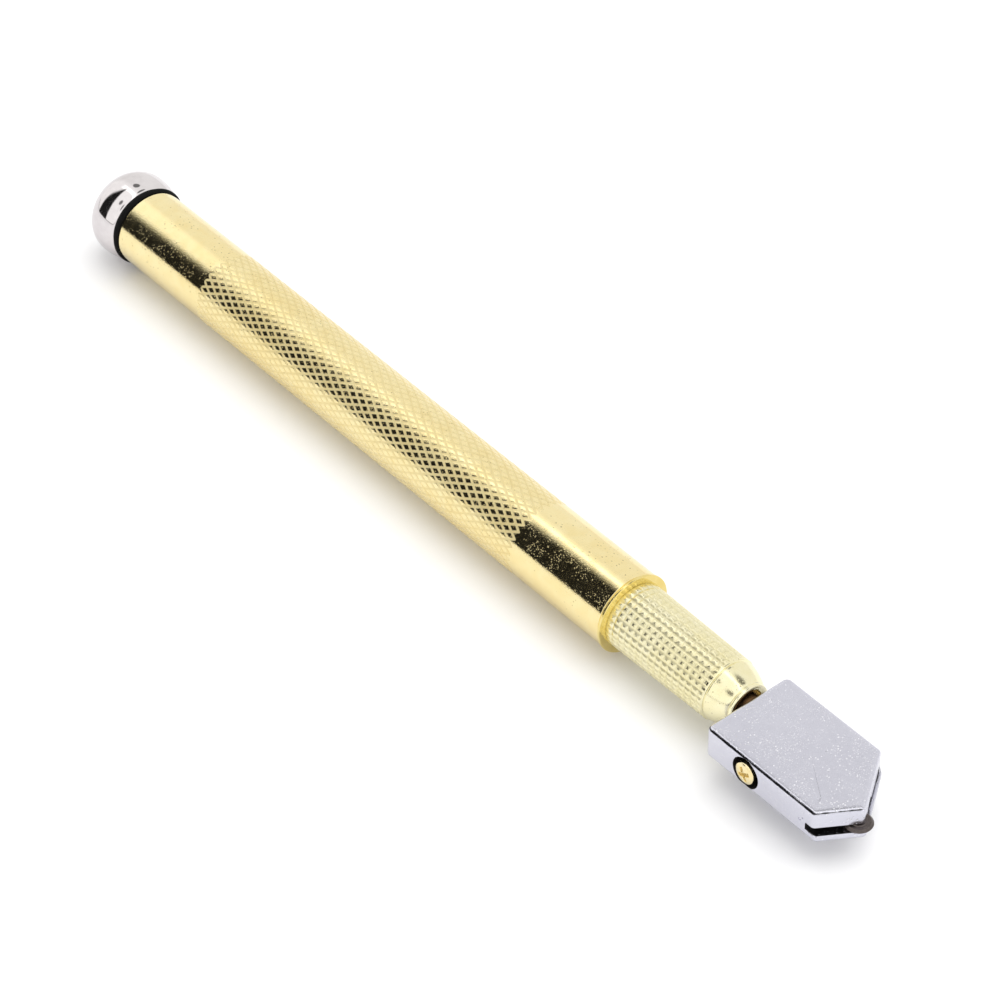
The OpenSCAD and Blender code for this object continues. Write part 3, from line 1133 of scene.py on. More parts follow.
@dataclass
class FrontGrip:
    """Hollow knurled grip with a smooth nose.

    Attributes:
        ribs: Ribs round the grip.
        rib_points: Points round each rib.
        pitch: Distance of the rings that cut the ribs.
        ring_rows: Rows between two rings.
        rib_deep: Depth between the ribs.
        ring_deep: Depth of the rings.
        run_out: Length of the plain end in front of the knurl.
        nose_len: Length of the smooth nose.
        rear_r: Radius at the knurl's rear end.
        front_r: Radius at its front end.
        neck_r: Radius of the turned groove behind the nose.
        mouth_groove_r: Radius of the groove behind the mouth.
        bush_r: Radius of the bore that holds the bush.
        seal_r: Radius of the bore behind it, which holds the stem's seal.
        valve_r: Radius of the bore that holds the valve.
        tail_r: Radius of the tail behind its seal.
        tail_front_r: Radius of the tail in front of its seal.
        seal_groove_r: Radius of the groove for the tail's seal.
        seal_groove_half: Half length of that groove.
        finish: Brass of the grip.
    """

    ribs: int = 30
    rib_points: int = 10
    pitch: float = 1.25 * MM
    ring_rows: int = 8
    rib_deep: float = 0.17 * MM
    ring_deep: float = 0.14 * MM
    run_out: float = 0.3 * MM
    nose_len: float = 4.2 * MM
    rear_r: float = 5.38 * MM
    front_r: float = 5.1 * MM
    neck_r: float = 4.80 * MM
    mouth_groove_r: float = 3.50 * MM
    bush_r: float = 2.66 * MM
    seal_r: float = 3.1 * MM
    valve_r: float = 3.6 * MM
    tail_r: float = 5.25 * MM
    tail_front_r: float = 5.0 * MM
    seal_groove_r: float = 4.35 * MM
    seal_groove_half: float = 0.7 * MM
    finish: PlatedBrass = PlatedBrass(
        "pale_greenish_brass", pale=(0.97, 0.92, 0.65), deep=(0.92, 0.85, 0.52),
        groove_shade=(0.40, 0.33, 0.15), rough=(0.10, 0.18), pit_share=0.10, wave=3.0e-6, lines=0.4e-6,
        worn=0.32)

    def nose(self, start: float, end: float) -> np.ndarray:
        """Profile of the nose: plain end, turned groove, swelling cone, mouth groove and mouth.

        Args:
            start: Where the knurl ends.
            end: Where the mouth is.

        Returns:
            The profile with its corners cut, from the plain end in to the bush's bore.
        """
        return cut_corners([
            (start - self.run_out, self.front_r - 0.02 * MM), (start - 0.12 * MM, 4.98 * MM),
            (start - 0.06 * MM, self.neck_r), (start + 0.04 * MM, self.neck_r),
            (start + 0.10 * MM, 4.93 * MM), (start + 0.9 * MM, 4.78 * MM),
            (start + 2.3 * MM, 4.30 * MM), (end - 0.78 * MM, 3.74 * MM),
            (end - 0.66 * MM, self.mouth_groove_r), (end - 0.55 * MM, self.mouth_groove_r),
            (end - 0.48 * MM, 3.66 * MM), (end - 0.1 * MM, 3.60 * MM), (end, 3.4 * MM),
            (end, 3.0 * MM), (end - 0.25 * MM, self.bush_r)], 3)

    def inside(self, rear: float, back: float) -> np.ndarray:
        """Profile of the stepped bore, from the bush to the rear, and of the tail's outside.

        Args:
            rear: X of the grip's rear end.
            back: Where the tail ends and the knurl starts.

        Returns:
            The profile, with square corners.
        """
        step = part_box("nose_bush")[0].x - rear + 1.0 * MM
        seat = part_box("valve_seat")[1].x - rear
        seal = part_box("grip_seal")
        mid = (seal[0].x + seal[1].x) / 2 - rear
        half, lead = self.seal_groove_half, 0.3 * MM
        return np.array([
            (step, self.bush_r), (step, self.seal_r), (seat, self.seal_r), (seat, self.valve_r),
            (lead, self.valve_r), (0.0, self.valve_r + 0.15 * MM),
            (0.0, self.tail_r - lead), (lead, self.tail_r), (mid - half, self.tail_r),
            (mid - half, self.seal_groove_r), (mid + half, self.seal_groove_r),
            (mid + half, self.tail_front_r), (back, self.tail_front_r)])

    def build(self) -> bpy.types.Object:
        """Makes the grip as one closed ring of rows: knurl, nose, stepped bore and tail.

        The knurl sinks by the deeper of rib_deep (1 - sin(pi d)^0.8) and
        ring_deep (1 - sin(pi e)^0.6), where d and e are the distances to the nearest groove
        round and along the grip, as shares of their pitch.

        Returns:
            The grip.
        """
        low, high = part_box("front_grip")
        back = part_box("front_ring")[1].x + SNUG - low.x
        end = high.x - low.x
        knurl_end = end - self.nose_len
        knurl = np.arange(back, knurl_end - self.run_out, self.pitch / self.ring_rows)
        slope = (self.front_r - self.rear_r) / (knurl_end - back)
        line = np.stack([knurl, self.rear_r + slope * (knurl - back)], 1)
        profile = np.concatenate([line, self.nose(knurl_end, end), self.inside(low.x, back)])
        count = self.ribs * self.rib_points
        turn = np.arange(count)[None, :] / count
        run = profile[:, :1] - back
        rib = 1.0 - np.sin(np.pi * off_line(self.ribs * turn)) ** 0.8
        ring = 1.0 - np.sin(np.pi * off_line(run / self.pitch)) ** 0.6
        depth = np.maximum(self.rib_deep * rib, self.ring_deep * ring)
        part = np.zeros((len(profile), 1))
        part[:len(line)] = np.clip((knurl[-1] - line[:, :1]) / self.run_out, 0.0, 1.0)
        rows = tool_lathe("front_grip").rows(profile[:, 0], profile[:, 1:] - depth * part, count)
        # The groove layer darkens the knurl by its depth through the finish, as painted shade.
        layers = {"groove": np.clip(0.2 + depth / self.rib_deep, 0.0, 1.0) * part}
        return shell("front_grip_knurled", rows, loop=True, sharp=28.0, layers=layers)

    def dress(self, piece: bpy.types.Object) -> None:
        """Gives the grip its finish and its body."""
        fit(piece, Body.HANDLE, "front_grip", self.finish.material())


@dataclass(frozen=True)
class Dent:
    """A round dent in the casting.

    Attributes:
        place: Where it is, from the middle height of the rear corner beside the screw.
        size: Its radius.
    """

    place: tuple[float, float, float]
    size: float


@dataclass
class CutterHead:
    """Five-sided chromed plate with a slot for the wheel, a socket for the stem and a window.

    Attributes:
        side_screw: Length of the edge with the screw.
        side_plain: Length of the other edge.
        reach: Length to the upper tip.
        tip_y: Distance of the tip from the tool's axis.
        lip: How far the lower lip reaches past the upper one.
        radii: Rounding of the five corners, from the rear one beside the screw.
        least_r: Least radius of a corner that is moved inwards.
        bevel: Radius of the rims of both broad faces.
        face_rings: How far inside the bevel the two rings of points on a broad face lie.
        sharp: Edges that turn by more than this many degrees stay crisp.
        slot_mid: Height of the slot's middle above the plate's middle.
        slot_wide: Width of the slot.
        slot_soft: Size of the softened edges of its mouth.
        slot_rim_shade: How much dark line is painted as shade along the edges of its roof and of its
            lower lip.
        floor_screw: Slot floor's distance from the rear at the screw's edge.
        floor_plain: The same at the other edge.
        window: Radius of the opening round the screw's head.
        window_deep: Depth of that opening.
        shank_hole: Radius of the hole for the screw's shank.
        socket: Radius of the socket for the stem.
        passage: Radius of the oil passage.
        pin_hole: Radius of the hole for the axle.
        flare: Size of the flare at the socket's mouth.
        past: How far a cutter stands out of the plate.
        dents: Dents beside the slot and at the tip.
        finish: Chrome of the outside.
        bare: Unplated metal of the slot and the holes, painted near black as their shade.
    """

    side_screw: float = 21.4 * MM
    side_plain: float = 18.6 * MM
    reach: float = 25.2 * MM
    tip_y: float = -3.0 * MM
    lip: float = 0.5 * MM
    radii: tuple[float, ...] = (0.95 * MM, 0.75 * MM, 0.7 * MM, 0.75 * MM, 0.95 * MM)
    least_r: float = 0.06 * MM
    bevel: float = 0.58 * MM
    face_rings: tuple[float, float] = (2.2 * MM, 0.45 * MM)
    sharp: float = 32.0
    slot_mid: float = -0.8 * MM
    slot_wide: float = 1.2 * MM
    slot_soft: float = 0.10 * MM
    slot_rim_shade: tuple[float, float] = (0.9, 0.45)
    floor_screw: float = 19.9 * MM
    floor_plain: float = 19.0 * MM
    window: float = 2.45 * MM
    window_deep: float = 2.0 * MM
    shank_hole: float = 1.75 * MM
    socket: float = 2.05 * MM
    passage: float = 0.9 * MM
    pin_hole: float = 0.41 * MM
    flare: float = 0.14 * MM
    past: float = 1 * MM
    dents: tuple[Dent, ...] = (Dent((18.85 * MM, 0.0, -0.3 * MM), 0.24 * MM),
                               Dent((19.35 * MM, 0.05 * MM, 0.25 * MM), 0.13 * MM),
                               Dent((24.2 * MM, 7.1 * MM, 2.72 * MM), 0.2 * MM))
    bare: BareCastingInShade = BareCastingInShade("bare_casting_in_shade")
    finish: CastChrome = CastChrome("satin_cast_chrome")

    def outline(self, forward: float, inset: float) -> np.ndarray:
        """Outline of the plate, corners rounded.

        Each side is moved inwards by inset, neighbours meet at new corners c, and each corner
        becomes an arc of radius r that touches both sides at r tan(half turn) from c.

        Args:
            forward: How far the front sides are moved forward.
            inset: How far every side is moved inwards.

        Returns:
            Points round the outline, the same number for any forward and inset.
        """
        low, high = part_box("cutter_head")
        x0 = low.x
        tip_y = tool_lathe("feed_stem").origin[1] + self.tip_y
        c = np.array([(x0, low.y), (x0 + self.side_screw + forward, low.y),
                      (x0 + self.reach + forward, tip_y),
                      (x0 + self.side_plain + forward, high.y), (x0, high.y)])
        way = np.roll(c, -1, 0) - c
        way /= np.linalg.norm(way, axis=1)[:, None]
        inward = np.stack([-way[:, 1], way[:, 0]], 1)
        before, inward_before = np.roll(way, 1, 0), np.roll(inward, 1, 0)
        share = inset / (1.0 + np.einsum("ij,ij->i", inward_before, inward))
        c = c + (inward_before + inward) * share[:, None]
        turn = np.arccos(np.clip(np.einsum("ij,ij->i", before, way), -1, 1))
        r = np.maximum(np.array(self.radii) - inset, self.least_r)
        touch = r * np.tan(turn / 2)
        out = []
        for k in range(len(c)):
            start = c[k] - before[k] * touch[k]
            hub = start + inward_before[k] * r[k]
            a = turn[k] * np.linspace(0.0, 1.0, 9)[:, None]
            spoke = start - hub
            side = np.array([-spoke[1], spoke[0]])
            out.append(hub + np.cos(a) * spoke + np.sin(a) * side)
            after = (k + 1) % len(c)
            a0, a1 = out[-1][-1], c[after] - way[k] * touch[after]
            marks = self.side_marks(k, a0, a1)
            out.append(a0 + (a1 - a0) * marks[:, None])
        return np.concatenate(out)

    def side_marks(self, side: int, start: np.ndarray, end: np.ndarray) -> np.ndarray:
        """Where the points along a side stand, as shares of it.

        The side with the screw gets a point where the slot's floor meets it.

        Args:
            side: Number of the side.
            start: Its first point.
            end: Its last point.

        Returns:
            Shares between 0 and 1, both left out.
        """
        if side == 0:
            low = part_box("cutter_head")[0]
            cross = (low.x + self.floor_screw - start[0]) / (end[0] - start[0])
            rear = np.linspace(0.0, cross, 40)[1:]
            return np.concatenate([rear, np.linspace(cross, 1.0, 8)[1:-1]])
        return np.linspace(0.0, 1.0, 46)[1:-1]

    def slot_floor(self, y: np.ndarray) -> np.ndarray:
        """X of the slot's floor, a straight line from one edge of the plate to the other.

        Args:
            y: Where it is asked for, across the plate.

        Returns:
            X of the floor at each place.
        """
        low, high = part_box("cutter_head")
        share = (y - low.y) / (high.y - low.y)
        return low.x + self.floor_screw + (self.floor_plain - self.floor_screw) * share

    def build(self) -> bpy.types.Object:
        """Carries the outline down through the plate's levels, then drills the plate.

        Rows follow the upper face, its rim's arc, the side, the slot's roof in to its floor
        line, the slot's lower face out again, the side, the lower rim's arc and the lower face.

        Returns:
            The plate.
        """
        low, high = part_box("cutter_head")
        mid = (low.z + high.z) / 2
        roof = mid + self.slot_mid + self.slot_wide / 2
        ground = mid + self.slot_mid - self.slot_wide / 2
        soft = self.slot_soft
        a = np.radians(np.linspace(0.0, 90.0, 7))
        rows: list[np.ndarray] = []
        rims: list[np.ndarray] = []
        # worn holds the share of painted dark rim line round the outline.
        worn = self.wear(self.outline(0.0, 0.0))

        def add(plan: np.ndarray, level: float, rim: float | np.ndarray = 0.0) -> None:
            """Adds one row of the outline at a level."""
            rows.append(np.concatenate([plan, np.full((len(plan), 1), level)], 1))
            rims.append(rim * worn)

        for forward, face, sign in ((0.0, high.z, 1.0), (self.lip, low.z, -1.0)):
            first = len(rows)
            for ring in self.face_rings:
                add(self.outline(forward, self.bevel + ring), face)
            # The upper bevel's middle gets the painted dark reflection line.
            for angle in a:
                inset = self.bevel * (1 - math.sin(angle))
                add(self.outline(forward, inset), face - sign * self.bevel * (1 - math.cos(angle)),
                    math.sin(2 * angle) ** 2 if sign > 0 else 0.0)
            edge = roof if sign > 0 else ground
            full = self.outline(forward, 0.0)
            for level in np.linspace(face - sign * self.bevel, edge + sign * soft, 5)[1:]:
                add(full, float(level))
            front = np.clip((full[:, 0] - self.slot_floor(full[:, 1])) / (0.4 * MM), 0.0, 1.0)
            eased = full + (self.outline(forward, soft) - full) * front[:, None]
            # Painted shade along the slot's mouth.
            add(eased, edge, self.slot_rim_shade[0 if sign > 0 else 1] * front)
            inner = full.copy()
            inner[:, 0] = np.minimum(full[:, 0], self.slot_floor(full[:, 1]))
            add(inner, edge)
            if sign < 0:
                rows[first:], rims[first:] = rows[first:][::-1], rims[first:][::-1]
        piece = shell("cutter_head_plate", np.stack(rows), sharp=self.sharp,
                      layers={"rim": np.stack(rims)})
        self.clean(piece)
        self.drill(piece)
        return piece

    @staticmethod
    def wear(plan: np.ndarray) -> np.ndarray:
        """How much dark line is painted on the rims round the outline, as reflection: most towards
        -Y, least towards +Y.

        Args:
            plan: Points round the outline.

        Returns:
            One value per point, 0.35 to 1, from the outward normal's lean towards -Y.
        """
        way = np.roll(plan, -1, 0) - np.roll(plan, 1, 0)
        return 0.675 + 0.325 * way[:, 0] / np.linalg.norm(way, axis=1)

    @staticmethod
    def clean(piece: bpy.types.Object) -> None:
        """Merges the points that fall together behind the slot.

        Args:
            piece: The plate before its holes are drilled.
        """
        work = bmesh.new()
        work.from_mesh(piece.data)
        bmesh.ops.remove_doubles(work, verts=work.verts, dist=1e-6)
        bmesh.ops.dissolve_degenerate(work, edges=work.edges, dist=1e-7)
        work.to_mesh(piece.data)
        work.free()

    def cutters(self) -> list[bpy.types.Object]:
        """Turned solids that fill each hole, with flared mouths where a hole is chamfered.

        Returns:
            The cutters for the stem's socket, the oil passage, the window, the shank and the
            axle, and for three small dents in the casting.
        """
        low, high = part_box("cutter_head")
        stem, screw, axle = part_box("feed_stem"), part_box("retaining_screw"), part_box("wheel_axle")
        y, z = tool_lathe("feed_stem").origin[1:]
        deep = stem[1].x - low.x + SNUG
        cx = (screw[0].x + screw[1].x) / 2
        ax, ay = (axle[0].x + axle[1].x) / 2, (axle[0].y + axle[1].y) / 2
        along = Lathe((low.x, y, z))
        inward = Lathe((cx, low.y, z), (0.0, 1.0, 0.0), (0.0, 0.0, 1.0))
        upward = Lathe((ax, ay, low.z), (0.0, 0.0, 1.0), (1.0, 0.0, 0.0))
        past, flare, brim = self.past, self.flare, 0.09 * MM
        half = flare / 2
        profiles = {
            "socket": (along, [(-past, self.socket + flare), (0.0, self.socket + flare),
                               (flare, self.socket), (deep, self.socket)]),
            "passage": (along, [(deep - past, self.passage), (self.reach + past, self.passage)]),
            "window": (inward, [(-past, self.window + half), (0.0, self.window + half),
                                (half, self.window), (self.window_deep, self.window)]),
            "shank": (inward, [(self.window_deep - past / 2, self.shank_hole),
                               (y - low.y - 0.1 * MM, self.shank_hole)]),
            "pin": (upward, [(-past, self.pin_hole + brim), (0.0, self.pin_hole + brim),
                             (brim, self.pin_hole), (axle[1].z - low.z + SNUG, self.pin_hole)])}
        # The holes' walls take the near-black bare finish, painted as their shade.
        bare = self.bare.material()
        made = []
        for name, (lathe, profile) in profiles.items():
            line = np.array(profile)
            made.append(shell("cut_" + name, lathe.rows(line[:, 0], line[:, 1], 72)))
            made[-1].data.materials.append(bare)
        corner = Vector((low.x, low.y, (low.z + high.z) / 2))
        a = np.radians(np.linspace(12.0, 168.0, 12))
        for k, dent in enumerate(self.dents):
            ball = Lathe(tuple(corner + Vector(dent.place)))
            made.append(shell(f"cut_dent_{k}", ball.rows(-dent.size * np.cos(a),
                                                        dent.size * np.sin(a), 20)))
        return made

    def drill(self, piece: bpy.types.Object) -> None:
        """Cuts the holes with exact booleans, applies them and removes the cutters.

        The walls of the holes keep the cutters' bare finish, which is painted near black as their
        shade.

        Args:
            piece: The plate.
        """
        piece.data.materials.append(self.finish.material())
        cutters = self.cutters()
        for cutter in cutters:
            cut = piece.modifiers.new(cutter.name, "BOOLEAN")
            cut.operation, cut.solver, cut.object = "DIFFERENCE", "EXACT", cutter
            cut.material_mode = "TRANSFER"
        graph = bpy.context.evaluated_depsgraph_get()
        cut_mesh = bpy.data.meshes.new_from_object(piece.evaluated_get(graph))
        piece.modifiers.clear()
        piece.data = cut_mesh
        for cutter in cutters:
            bpy.data.objects.remove(cutter)
        crisp(piece.data, self.sharp)
        self.shade_slot(cut_mesh)

    def shade_slot(self, mesh: bpy.types.Mesh) -> None:
        """Gives the slot's roof and floor the bare finish, painted near black as the slot's shade.

        These are the faces whose middle lies between the slot's two levels and in front of
        the floor line, less a hair, apart from the lower lip's flat, which is plated.

        Args:
            mesh: The drilled plate.
        """
        low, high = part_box("cutter_head")
        mid = (low.z + high.z) / 2 + self.slot_mid
        count = len(mesh.polygons)
        middle, facing = np.empty(count * 3), np.empty(count * 3)
        mesh.polygons.foreach_get("center", middle)
        mesh.polygons.foreach_get("normal", facing)
        middle, facing = middle.reshape(-1, 3), facing.reshape(-1, 3)
        level = np.abs(middle[:, 2] - mid) < self.slot_wide / 2 + 0.01 * MM
        ahead = middle[:, 0] > self.slot_floor(middle[:, 1]) - 0.02 * MM
        index = np.zeros(count, np.int32)
        mesh.polygons.foreach_get("material_index", index)
        bare = [k for k, m in enumerate(mesh.materials) if m and m.name.startswith(self.bare.name)]
        # Painted shade: the slot's roof and floor take the near-black bare finish.
        index[level & ahead & (facing[:, 2] < 0.5)] = bare[0]
        mesh.polygons.foreach_set("material_index", index)

    def dress(self, piece: bpy.types.Object) -> None:
        """Gives the plate its body; its finishes are on it already."""
        fit(piece, Body.HEAD, "cutter_head", None)


@dataclass
class RetainingScrew:
    """Cross-head screw that holds the head on the stem.

    Attributes:
        head_r: Radius of the head.
        head_t: Thickness of the head.
        shank_r: Radius over the thread.
        arm: Half width of the cross's arms.
        arm_len: Half length of the arms.
        deep: Depth of the cross at its middle.
        wall: How far the cross's steep walls run, seen from outside.
        tilt: Angle of the cross, in degrees.
        dome: How far the head's face falls from its middle to its rim.
        root: Radius of the neck under the head.
        pitch: Pitch of the thread.
        thread_deep: Depth of the thread.
        end_r: Radius of the shank's end.
        count: Points round the screw.
        finish: Brass of the screw.
    """

    head_r: float = 1.75 * MM
    head_t: float = 1.5 * MM
    shank_r: float = 1.25 * MM
    arm: float = 0.32 * MM
    arm_len: float = 1.2 * MM
    deep: float = 0.75 * MM
    wall: float = 0.12 * MM
    tilt: float = 28.0
    dome: float = 0.34 * MM
    root: float = 1.05 * MM
    pitch: float = 0.45 * MM
    thread_deep: float = 0.2 * MM
    end_r: float = 0.8 * MM
    count: int = 144
    finish: PlatedBrass = PlatedBrass(
        "screw_brass_plating", pale=(0.96, 0.84, 0.52), deep=(0.90, 0.74, 0.38),
        groove_shade=(0.12, 0.08, 0.03), rough=(0.10, 0.22), pit_share=0.08, wave=2.5e-6, lines=0.4e-6)

    def cross(self, radius: np.ndarray, angle: np.ndarray) -> np.ndarray:
        """Depth of the recess at points of the head's face.

        With u and v along and across the arms, a point is inside an arm by the smaller of
        arm - |v| and arm_len - |u|. The recess is the larger of its two arms' values over wall,
        kept between 0 and 1, times a depth that falls towards the arms' ends.

        Args:
            radius: Distance of each point from the screw's axis.
            angle: Its angle from the cross's first arm.

        Returns:
            Depth at each point.
        """
        u, v = radius * np.cos(angle), radius * np.sin(angle)
        one = np.minimum(self.arm - np.abs(v), self.arm_len - np.abs(u))
        two = np.minimum(self.arm - np.abs(u), self.arm_len - np.abs(v))
        cut = np.clip(np.maximum(one, two) / self.wall, 0.0, 1.0)
        return self.deep * cut * (1.0 - 0.45 * np.clip(radius / self.arm_len, 0.0, 1.0))

    def build(self) -> bpy.types.Object:
        """Makes the screw: a height map over the head's face, then its side and its thread.

        The face falls by dome x (r / head_r)^4 from its middle, and the cross sinks into it.

        Returns:
            The screw.
        """
        low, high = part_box("retaining_screw")
        centre = ((low.x + high.x) / 2, low.y, (low.z + high.z) / 2)
        length, top, thick = high.y - low.y, self.head_r, self.head_t
        turn = np.arange(self.count)[None, :] / self.count
        face_r = np.linspace(0.04, 1.0, 46)[:, None] * (top - 0.06 * MM)
        recess = self.cross(face_r, 2 * np.pi * turn + math.radians(self.tilt))
        face = self.dome * (face_r / top) ** 4 + recess
        run = np.arange(thick + 0.2 * MM, length - 0.3 * MM, self.pitch / ROWS_PER_TURN)[:, None]
        shank = self.shank_r - thread(turn, run, self.pitch, self.thread_deep)
        bands = [(face, face_r), (0.40 * MM, top - 0.015 * MM), (0.48 * MM, top),
                 (thick - 0.08 * MM, top), (thick, top - 0.08 * MM), (thick, self.root),
                 (run, shank), (length, self.end_r)]
        flat = np.ones((1, self.count))
        place = np.concatenate([x * flat for x, _ in bands])
        radius = np.concatenate([r * flat for _, r in bands])
        lathe = Lathe(centre, (0.0, 1.0, 0.0), (0.0, 0.0, 1.0))
        rows = lathe.rows(np.zeros(len(place)), radius, self.count)
        rows = rows + place[:, :, None] * np.array(lathe.along)
        # The cross's depth goes into the groove layer, which the finish darkens as painted shade.
        groove = np.zeros_like(place)
        groove[:len(recess)] = recess / self.deep
        return shell("retaining_screw_cross", rows, sharp=32.0, layers={"groove": groove})

    def dress(self, piece: bpy.types.Object) -> None:
        """Gives the screw its finish and its body."""
        fit(piece, Body.STEM, "retaining_screw", self.finish.material())


@dataclass
class CuttingWheel:
    """Small carbide wheel: a hub, two shallow reliefs and a ground edge.

    Attributes:
        bore: Radius of the bore.
        hub: Radius of the raised hub.
        relief: Depth of the relief round the hub.
        land: Length of the ground edge's slope.
        soft: Size of the bore's softened edges.
        step: Longest distance between two rows.
        count: Points round the wheel.
    """

    bore: float = 0.45 * MM
    hub: float = 1.1 * MM
    relief: float = 0.12 * MM
    land: float = 0.35 * MM
    soft: float = 0.05 * MM
    step: float = 0.12 * MM
    count: int = 144

    def build(self) -> bpy.types.Object:
        """Turns a profile of one side and its mirror image about the wheel's axle.

        Returns:
            The wheel.
        """
        low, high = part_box("cutting_wheel")
        radius, wide = (high.x - low.x) / 2, high.z - low.z
        half = between([(0.0, self.bore + self.soft), (0.0, self.hub),
                        (self.relief, self.hub + self.relief),
                        (self.relief, radius - self.land), (wide / 2, radius)], self.step)
        back = half[:-1][::-1].copy()
        back[:, 0] = wide - back[:, 0]
        line = np.concatenate([[(self.soft, self.bore)], half, back,
                               [(wide - self.soft, self.bore)]])
        lathe = Lathe(((low.x + high.x) / 2, (low.y + high.y) / 2, low.z), (0.0, 0.0, 1.0),
                      (1.0, 0.0, 0.0))
        return shell("cutting_wheel_ground", lathe.rows(line[:, 0], line[:, 1], self.count),
                     loop=True, sharp=14.0)

    def dress(self, piece: bpy.types.Object) -> None:
        """Gives the wheel a finish ground round its axle, and its body.

        Args:
            piece: The wheel.
        """
        low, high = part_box("cutting_wheel")
        finish = GroundMetal("ground_carbide", light=(0.22, 0.19, 0.18),
                             shade=(0.09, 0.075, 0.07), rough=(0.28, 0.5),
                             centre=tuple((low + high) / 2), metallic=0.85)
        fit(piece, Body.WHEEL, "cutting_wheel", finish.material())


@dataclass
class ValveSpring:
    """Coil spring of round wire.

    Attributes:
        coil: Radius of the coil, to the middle of the wire.
        wire: Radius of the wire.
        turns: Turns of the coil.
        steps: Rows in each turn.
        sides: Points round the wire.
        finish: Steel of the wire.
    """

    coil: float = 2.45 * MM
    wire: float = 0.3 * MM
    turns: int = 6
    steps: int = 40
    sides: int = 14
    finish: GroundMetal = GroundMetal("spring_steel_wire", (0.62, 0.62, 0.63), (0.38, 0.38, 0.40))

    def build(self) -> bpy.types.Object:
        """Carries a circle along the helix C(t) = (rise t, R cos t, R sin t).

        Returns:
            The spring.
        """
        low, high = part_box("valve_spring")
        y, z = (low.y + high.y) / 2, (low.z + high.z) / 2
        t = 2 * np.pi * np.arange(self.turns * self.steps + 1)[:, None] / self.steps
        rise = (high.x - low.x - 2 * self.wire) * t / t[-1] + low.x + self.wire
        v = 2 * np.pi * np.arange(self.sides)[None, :] / self.sides
        out = self.coil + self.wire * np.cos(v)
        rows = np.stack([rise + self.wire * np.sin(v), y + out * np.cos(t), z + out * np.sin(t)], -1)
        return shell("valve_spring_coil", rows)

    def dress(self, piece: bpy.types.Object) -> None:
        """Gives the spring its finish, bakes its place into its points and hides the imported node.

        Args:
            piece: The spring.
        """
        piece.data.materials.append(self.finish.material())
        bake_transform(piece)
        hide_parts("valve_spring")


@dataclass
class InnerParts:
    """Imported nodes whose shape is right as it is: seals, valve, stem, wick, bush and axle."""

    def dress(self) -> dict[str, bpy.types.Object]:
        """Gives each node its finish.

        Returns:
            The dressed nodes by name.
        """
        rubber = SealRubber("oil_seal_rubber").material()
        bush = GroundMetal("bush_bronze", (0.80, 0.58, 0.28), (0.55, 0.36, 0.15)).material()
        stem = GroundMetal("stem_brown_brass", (0.36, 0.22, 0.12), (0.15, 0.085, 0.045),
                           (0.3, 0.5)).material()
        washer = GroundMetal("washer_brass", (0.84, 0.68, 0.36), (0.62, 0.47, 0.2)).material()
        axle = GroundMetal("axle_steel_rod", (0.60, 0.60, 0.61), (0.35, 0.35, 0.37)).material()
        wick = OiledCotton("wick_cotton_yarn").material()
        wear = {"grip_seal": rubber, "stem_seal": rubber, "valve_seat": rubber,
                "nose_bush": bush, "valve_poppet": bush, "feed_stem": stem,
                "seal_washer": washer, "spring_retainer": washer, "wheel_axle": axle,
                "feed_wick": wick}
        nodes = {name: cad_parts[name] for name in wear}
        for name, node in nodes.items():
            node.data.materials.clear()
            node.data.materials.append(wear[name])
        return nodes


# ---------------------------------------------------------------- studio


@dataclass(frozen=True)
class Fitting:
    """A dark round fitting overhead, as gloss sees it.

    Attributes:
        way: Direction of its middle.
        reach: Cosine of its half width.
        dark: How dark it is.
    """

    way: tuple[float, float, float]
    reach: float
    dark: float = 0.8

    def mask(self, wiring: Wiring, way: Source) -> Any:
        """Darkness towards a direction: dark where its dot product with the middle is past reach.

        Args:
            wiring: Wiring of the room.
            way: Direction looked in.

        Returns:
            The mask's socket.
        """
        lean = wiring.add("VectorMath", {0: way, 1: self.way}, operation="DOT_PRODUCT").outputs[1]
        edge = (1.0 - self.reach) * 0.5
        spot = wiring.span(lean, self.reach, self.reach + edge, (0.0, 1.0))
        return wiring.maths("MULTIPLY", spot, self.dark)


